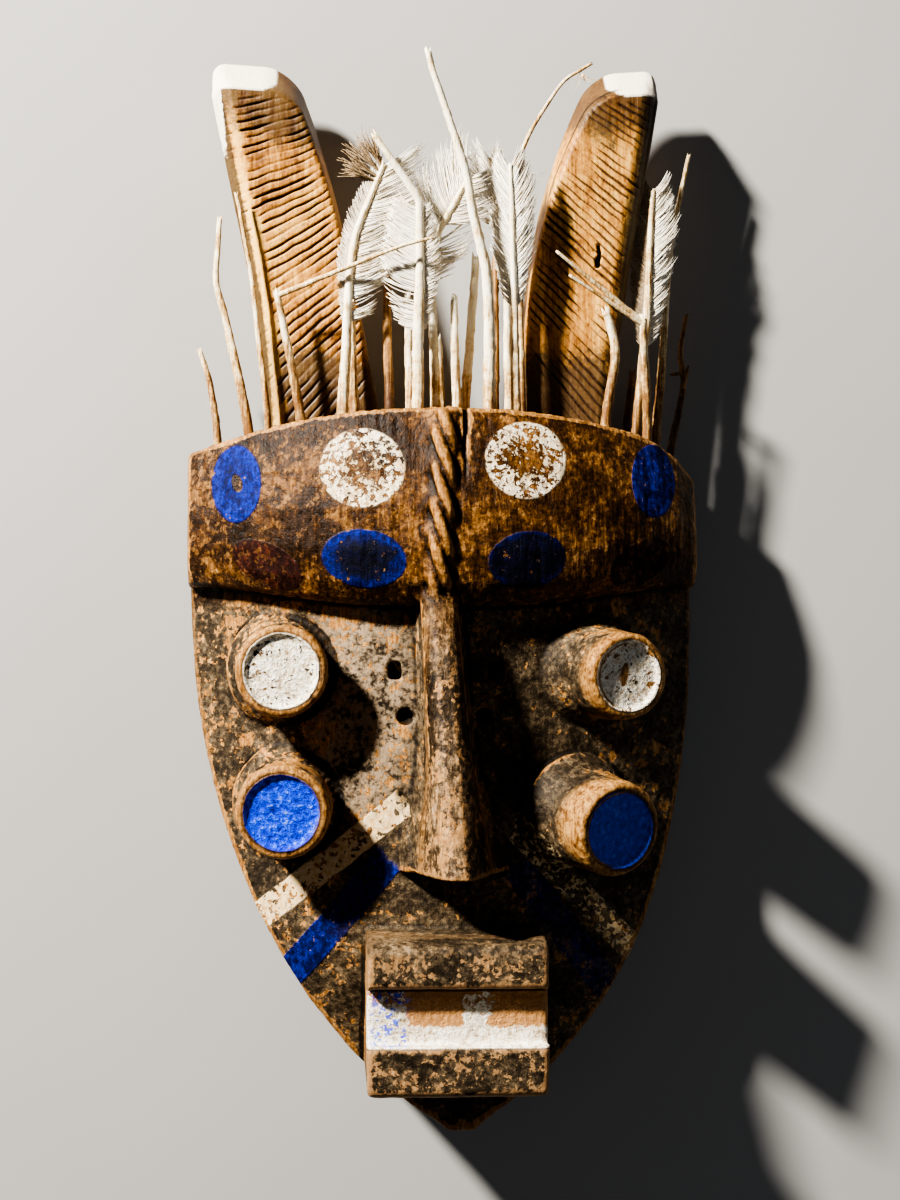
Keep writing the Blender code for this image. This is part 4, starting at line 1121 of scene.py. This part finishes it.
# %% Stalks
FACE_CROWN_Z = 72.0 + 19.0 * 0.36
FACE_ARC = 190.0
SOCKET_DEPTH = 12.5
STEP = 1.1
STALK_SIDES, TWIG_SIDES, BARB_SIDES = 12, 8, 3
BARB_WIDTH = 0.46


def leaves_at(share, inset):
    x = share * HALF_WIDTH
    drop = FACE_ARC - math.sqrt(FACE_ARC ** 2 - x * x)
    return np.array([x, float(forehead_y(np.array(x))), FACE_CROWN_Z - drop - inset])


def eased_path(corners):
    """Rounds the corners of a path and steps evenly along it."""
    path = np.array(corners, float)
    for _ in range(2):
        near = mix(path[:-1], path[1:], 0.18)
        far = mix(path[:-1], path[1:], 0.82)
        path = np.vstack([path[:1], np.stack([near, far], 1).reshape(-1, 3), path[-1:]])
    gone = np.r_[0, np.cumsum(np.linalg.norm(np.diff(path, axis=0), axis=1))]
    even = np.linspace(0, gone[-1], max(4, int(gone[-1] / STEP)))
    return np.column_stack([np.interp(even, gone, path[:, k]) for k in range(3)])


def axes_along(path):
    """Forward, sideways and upward directions at each step of a path."""
    forward = np.gradient(path, axis=0)
    forward /= np.linalg.norm(forward, axis=1)[:, None]
    sideways = np.cross(forward, (0, 0, 1.0))
    sideways /= np.linalg.norm(sideways, axis=1)[:, None]
    return forward, sideways, np.cross(sideways, forward)


class Shell:
    """Points and faces that pile up until they become one mesh."""

    def __init__(self):
        self.points = []
        self.faces = []
        self.marks = []
        self.count = 0

    def stalk(self, path, radii, sides, seed, rough, ragged=1.0, flat=1.0, mark=0.0):
        """A tube along a path, with a lumpy skin and a torn end."""
        forward, sideways, upward = axes_along(path)
        steps = len(path)
        angle = np.arange(sides) * 2 * math.pi / sides
        ring, item = np.meshgrid(np.arange(steps), np.arange(sides), indexing="ij")
        skin = 1 + rough * 2 * (lattice(item, ring // 3, ring * 0, seed) - 0.5)
        skin += rough * 1.5 * (lattice(item, ring * 0, ring * 0, seed + 1) - 0.5)
        reach = np.asarray(radii)[:, None] * skin
        out = sideways[:, None] * np.cos(angle)[None, :, None] * reach[..., None]
        out += upward[:, None] * np.sin(angle)[None, :, None] * reach[..., None] * flat
        points = path[:, None] + out
        torn = lattice(item[-1], item[-1] * 0, item[-1] * 0, seed + 2) - 0.35
        points[-1] += forward[-1] * (torn * ragged * radii[-1] * 3)[:, None]
        base = self.count
        grid = base + ring * sides + item
        after = base + ring * sides + (item + 1) % sides
        quads = np.stack([grid[:-1], after[:-1], after[1:], grid[1:]], -1).reshape(-1, 4)
        self.faces += quads.tolist()
        caps = np.array([path[0], path[-1] - forward[-1] * radii[-1] * 0.5])
        first, last = base + steps * sides, base + steps * sides + 1
        self.faces += [[first, int(after[0, k]), int(grid[0, k])] for k in range(sides)]
        self.faces += [[last, int(grid[-1, k]), int(after[-1, k])] for k in range(sides)]
        self.points.append(np.vstack([points.reshape(-1, 3), caps]))
        self.marks.append(np.full(steps * sides + 2, mark))
        self.count += steps * sides + 2

    def mesh(self, name):
        made = bpy.data.meshes.new(name)
        points = np.clip(np.vstack(self.points), whole_low, whole_high)
        made.from_pydata([(0, 0, 0)] * len(points), [], self.faces)
        put_corners(made, points)
        carry(made, "mark", np.concatenate(self.marks))
        made.shade_smooth()
        return linked(name, made)


whole_low, whole_high = drawing_box(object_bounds())


def wobbled(path, amount, seed):
    """Shakes the middle of a path while its foot stays in the socket."""
    steps = len(path)
    free = smooth((np.arange(steps) - 12) / 20)[:, None]
    shake = np.column_stack([lumps(path + k * 57.0, (14, 17, 14), seed + k) for k in range(3)])
    return path + shake * amount * free * np.array([1, 0.2, 0.8])


def bend_at(bend):
    """A bend as x, y and z. Most bends lie flat, so the tables leave z out."""
    return np.array((*bend, 0)[:3], float)


def stem_path(share, inset, bends, seed):
    start = leaves_at(share, inset)
    first = bend_at(bends[0])
    first /= np.linalg.norm(first)
    corners = [start - first * (SOCKET_DEPTH - 0.4)] + [start + bend_at(bend) for bend in bends]
    return wobbled(eased_path(corners), 0.5, seed)


def tapered(path, foot, tip):
    return mix(foot, tip, np.linspace(0, 1, len(path)) ** 1.1) * 0.97


stems = {}
stem_paths = {}
seed = 1000
for name, (share, inset, foot, tip, bends, *rest) in {**QUILLS, **FEATHERS, **FORKED}.items():
    seed += 10
    shell = Shell()
    path = stem_path(share, inset, bends, seed)
    shell.stalk(path, tapered(path, foot, tip), STALK_SIDES, seed, rough=0.09)
    if name in FORKED:
        for foot, tip, bends in rest[0]:
            start = leaves_at(share, inset)
            twig = eased_path([start + bend_at(bend) for bend in bends])
            shell.stalk(twig, tapered(twig, foot, tip), TWIG_SIDES, seed + 3, rough=0.12)
    stems[name] = shell
    stem_paths[name] = path
print("stalk corners:", sum(shell.count for shell in stems.values()))

# %% [markdown]
# ## Feather blades
# A blade is a row of barbs on each side of the shaft. Each barb is a thin
# three-sided hair that leaves the shaft at a slant and curls. Barbs cling
# together in locks, so slant, curl and length wander slowly along the shaft,
# and a few locks are missing where the crest is worn.


# %% Barbs
def barb(shell, root, out, curl, length, width, seed, bends, mark):
    share = np.linspace(0, 1, bends)[:, None]
    path = root + out * length * share + curl * length * share ** 2
    radii = width * (1 - 0.75 * share[:, 0])
    shell.stalk(path, radii, BARB_SIDES, seed, rough=0.0, ragged=0.0, flat=0.5, mark=mark)


BARB_GAP = 0.25


def blade(shell, path, span, seed, tidy, missing, slant, fuller, dark=0, side_tint_and_painted_shade=0.9):
    """Barbs along both sides of a shaft. One side can be tinted brown and whole; on the far right feather
    that brown is painted shade.
    """
    start, end, left, right = span
    forward, sideways, upward = axes_along(path)
    steps = len(path)
    count = int((end - start) * steps * STEP / BARB_GAP)
    rng = np.random.default_rng(seed)
    for side, reach in ((-1, left), (1, right)):
        shares = np.linspace(start, min(end, 0.995), count)
        probe = np.column_stack([shares * steps * STEP, shares * 0 + side * 9, shares * 0])
        lock = lumps(probe, 6.5, seed + side)
        gap = lumps(probe, 9.0, seed + 7 + side)
        for k, share in enumerate(shares):
            if gap[k] > 1 - missing * 2 and side != dark and rng.random() < 0.85:
                continue
            local = (share - start) / (end - start)
            swell = 0.16 + 0.84 * math.sin(math.pi * (0.08 + 0.84 * local)) ** 0.7
            place = share * (steps - 1)
            index = int(place)
            root = mix(path[index], path[min(index + 1, steps - 1)], place - index)
            angle = math.radians(mix(*slant, local) + (1 - tidy) * 55 * lock[k] + rng.normal(0, 3.0))
            out = side * sideways[index] * math.sin(angle) + forward[index] * math.cos(angle)
            out = out + upward[index] * rng.normal(0, 0.05)
            bend = 0.25 + 0.30 * lock[k] + rng.normal(0, 0.06)
            curl = forward[index] * bend + upward[index] * (-0.18 + 0.35 * lock[k] * (1 - tidy))
            curl = curl - sideways[index] * side * 0.18 * (1 - tidy) * (1 + lock[k])
            length = fuller * reach * swell * (0.95 + 0.22 * lock[k]) * (1 + rng.normal(0, 0.07))
            length = max(length / max(math.sin(angle), 0.55), 1.0)
            # Brown tint for the chosen side; on the far right feather it is painted shade.
            mark = side_tint_and_painted_shade if side == dark else 0.0
            barb(shell, root, out, curl, length, BARB_WIDTH, seed + k, 7, mark)


def tuft(shell, root, toward, count, length, spread, seed, curl, width, mark):
    """A loose fan of hairs from one place."""
    rng = np.random.default_rng(seed)
    toward = np.array(toward, float) / np.linalg.norm(toward)
    across = np.cross(toward, (0, 0, 1.0))
    for k in range(count):
        turn = rng.uniform(-1, 1)
        out = toward + across * turn * spread + np.array([0, 0, rng.normal(0, 0.15)])
        out /= np.linalg.norm(out)
        bend = across * (turn * 0.5 + rng.normal(0, 0.3)) * curl + np.array([0, 0, rng.normal(0, 0.12)])
        start = np.array(root) + toward * rng.uniform(-1.5, 2.5)
        barb(shell, start, out, bend, length * rng.uniform(0.55, 1.05), width, seed + k, 8, mark)


BLADES = {
    "feather_left": dict(missing=0.12, tidy=0.62, slant=(82, 44), fuller=1.8, dark=-1, side_tint_and_painted_shade=0.4),
    "feather_bent": dict(missing=0.15, tidy=0.48, slant=(88, 62), fuller=1.6),
    "feather_middle": dict(missing=0.14, tidy=0.38, slant=(84, 48), fuller=2.3),
    "feather_downy": dict(missing=0.05, tidy=0.25, slant=(70, 44), fuller=1.5),
    "feather_right": dict(missing=0.04, tidy=0.60, slant=(56, 38), fuller=1.6),
    # The far right feather's brown left side is painted shade.
    "feather_far_right": dict(missing=0.15, tidy=0.45, slant=(68, 40), fuller=1.7, dark=-1),
}
blades = {}
for k, (name, settings) in enumerate(BLADES.items()):
    blades[name] = Shell()
    blade(blades[name], stem_paths[name], FEATHERS[name][5:], 2000 + 100 * k, **settings)
BROWN_LOCKS = ((-0.45, 1.0, 21.0), (-0.8, 0.9, 22.0), (-1.1, 0.7, 20.0), (-1.2, 0.45, 17.0))
path = stem_paths["feather_left"]
for lock, (left, up, reach) in enumerate(BROWN_LOCKS):
    root = path[-3 - 2 * lock]
    tuft(blades["feather_left"], root, (left, up, 0.05), 34, reach, 0.10, 3000 + 40 * lock, 0.3, 0.5, 1.0)
root = stem_paths["quill_curved"][-6]
tuft(stems["quill_curved"], root, (0.35, -1.0, 0.1), 9, 9.0, 0.8, 3400, 0.8, 0.25, 1.0)
path = stem_paths["feather_downy"]
tuft(blades["feather_downy"], path[-14], (0.35, 1.0, 0.1), 110, 17.0, 0.9, 3100, 0.9, 0.2, 0.25)
tuft(blades["feather_downy"], path[-30], (0.1, 1.0, 0.2), 70, 14.0, 1.1, 3200, 0.9, 0.2, 0.35)
print("barb corners:", sum(shell.count for shell in blades.values()))

# %% [markdown]
# ## Quill and barb
# A shaft is horn, ivory where it is clean and tan where it is weathered, with
# dark threads along it. Barbs are nearly white, a few locks are brown, and the
# brown on one side of the far right feather is painted shade.

# %% Quill and barb finish
def quill_finish(name, stops, streak_shift):
    quill = Recipe(name)
    where, _, y, _ = quill.place()
    along = quill.stretched(where, 1.0, 0.05, 1.0)
    streak = quill.grain(along, 0.9, 4.0, 0.6, 31.0)
    patch = quill.grain(where, 11.0, 4.0, 0.6, 32.0, 0.4)
    speck = quill.grain(where, 1.4, 3.0, 0.6, 33.0)
    foot = y.rise(130, 84) * 0.16
    share = streak * 0.6 + patch * 0.5 + speck * 0.25 + foot - streak_shift
    quill.coat = quill.ramp(share.rise(0.30, 0.80), *stops)
    quill.finish(0.42 + 0.3 * patch, streak * 0.7 + speck * 0.4, 0.7, 0.0004)
    return quill


IVORY_STOPS = (
    (0.0, 252, 247, 232), (0.4, 240, 224, 188), (0.68, 206, 170, 116), (1.0, 124, 84, 44),
)
BROWN_STOPS = ((0.0, 236, 206, 156), (0.4, 176, 132, 82), (1.0, 76, 48, 26))
ivory_quill = quill_finish("ivory_quill", IVORY_STOPS, 0.20)
tan_quill = quill_finish("tan_quill", IVORY_STOPS, 0.10)
brown_quill = quill_finish("brown_quill", BROWN_STOPS, 0.1)

barbs = Recipe("barbs")
where, *_ = barbs.place()
lock = barbs.grain(where, 8.0, 3.0, 0.6, 41.0)
thread = barbs.grain(where, 0.9, 2.0, 0.6, 42.0)
barb_share = (lock * 0.8 + thread * 0.3).rise(0.3, 0.9)
white_barb = barbs.ramp(barb_share, (0.0, 252, 249, 240), (1.0, 232, 216, 190))
brown_barb = barbs.ramp(thread, (0.3, 196, 174, 140), (0.7, 104, 76, 50))
barbs.coat = barbs.blend(white_barb, brown_barb, barbs.value("mark"))
barbs.finish(0.62 + 0.1 * thread, thread, 0.3, 0.0002)
TAN = (
    "quill_left_outer", "quill_left_tall", "quill_curved", "quill_right_tall", "quill_right_bent",
    "quill_left_crossed", "quill_right_snapped", "quill_left_thin", "quill_centre_split",
    "feather_far_right",
)
BROWN = ("quill_centre_brown", "quill_right_brown", "twig_right", "quill_right_inner")


def stem_finish(name):
    if name in BROWN:
        return brown_quill
    return tan_quill if name in TAN else ivory_quill


print("finishes:", len(bpy.data.materials))

# %% Ride and finish
stalk_pieces = {}
for name, shell in stems.items():
    stalk_pieces[name] = shell.mesh(name + "_stalk")
    wear(stalk_pieces[name], stem_finish(name))
blade_pieces = {}
for name, shell in blades.items():
    blade_pieces[name] = shell.mesh(name + "_barbs")
    wear(blade_pieces[name], barbs)
for piece in (block, *horns):
    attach(piece, "root")
    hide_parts("mask")
for group in (stalk_pieces, blade_pieces):
    for name, piece in group.items():
        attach(piece, "root")
        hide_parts(name)
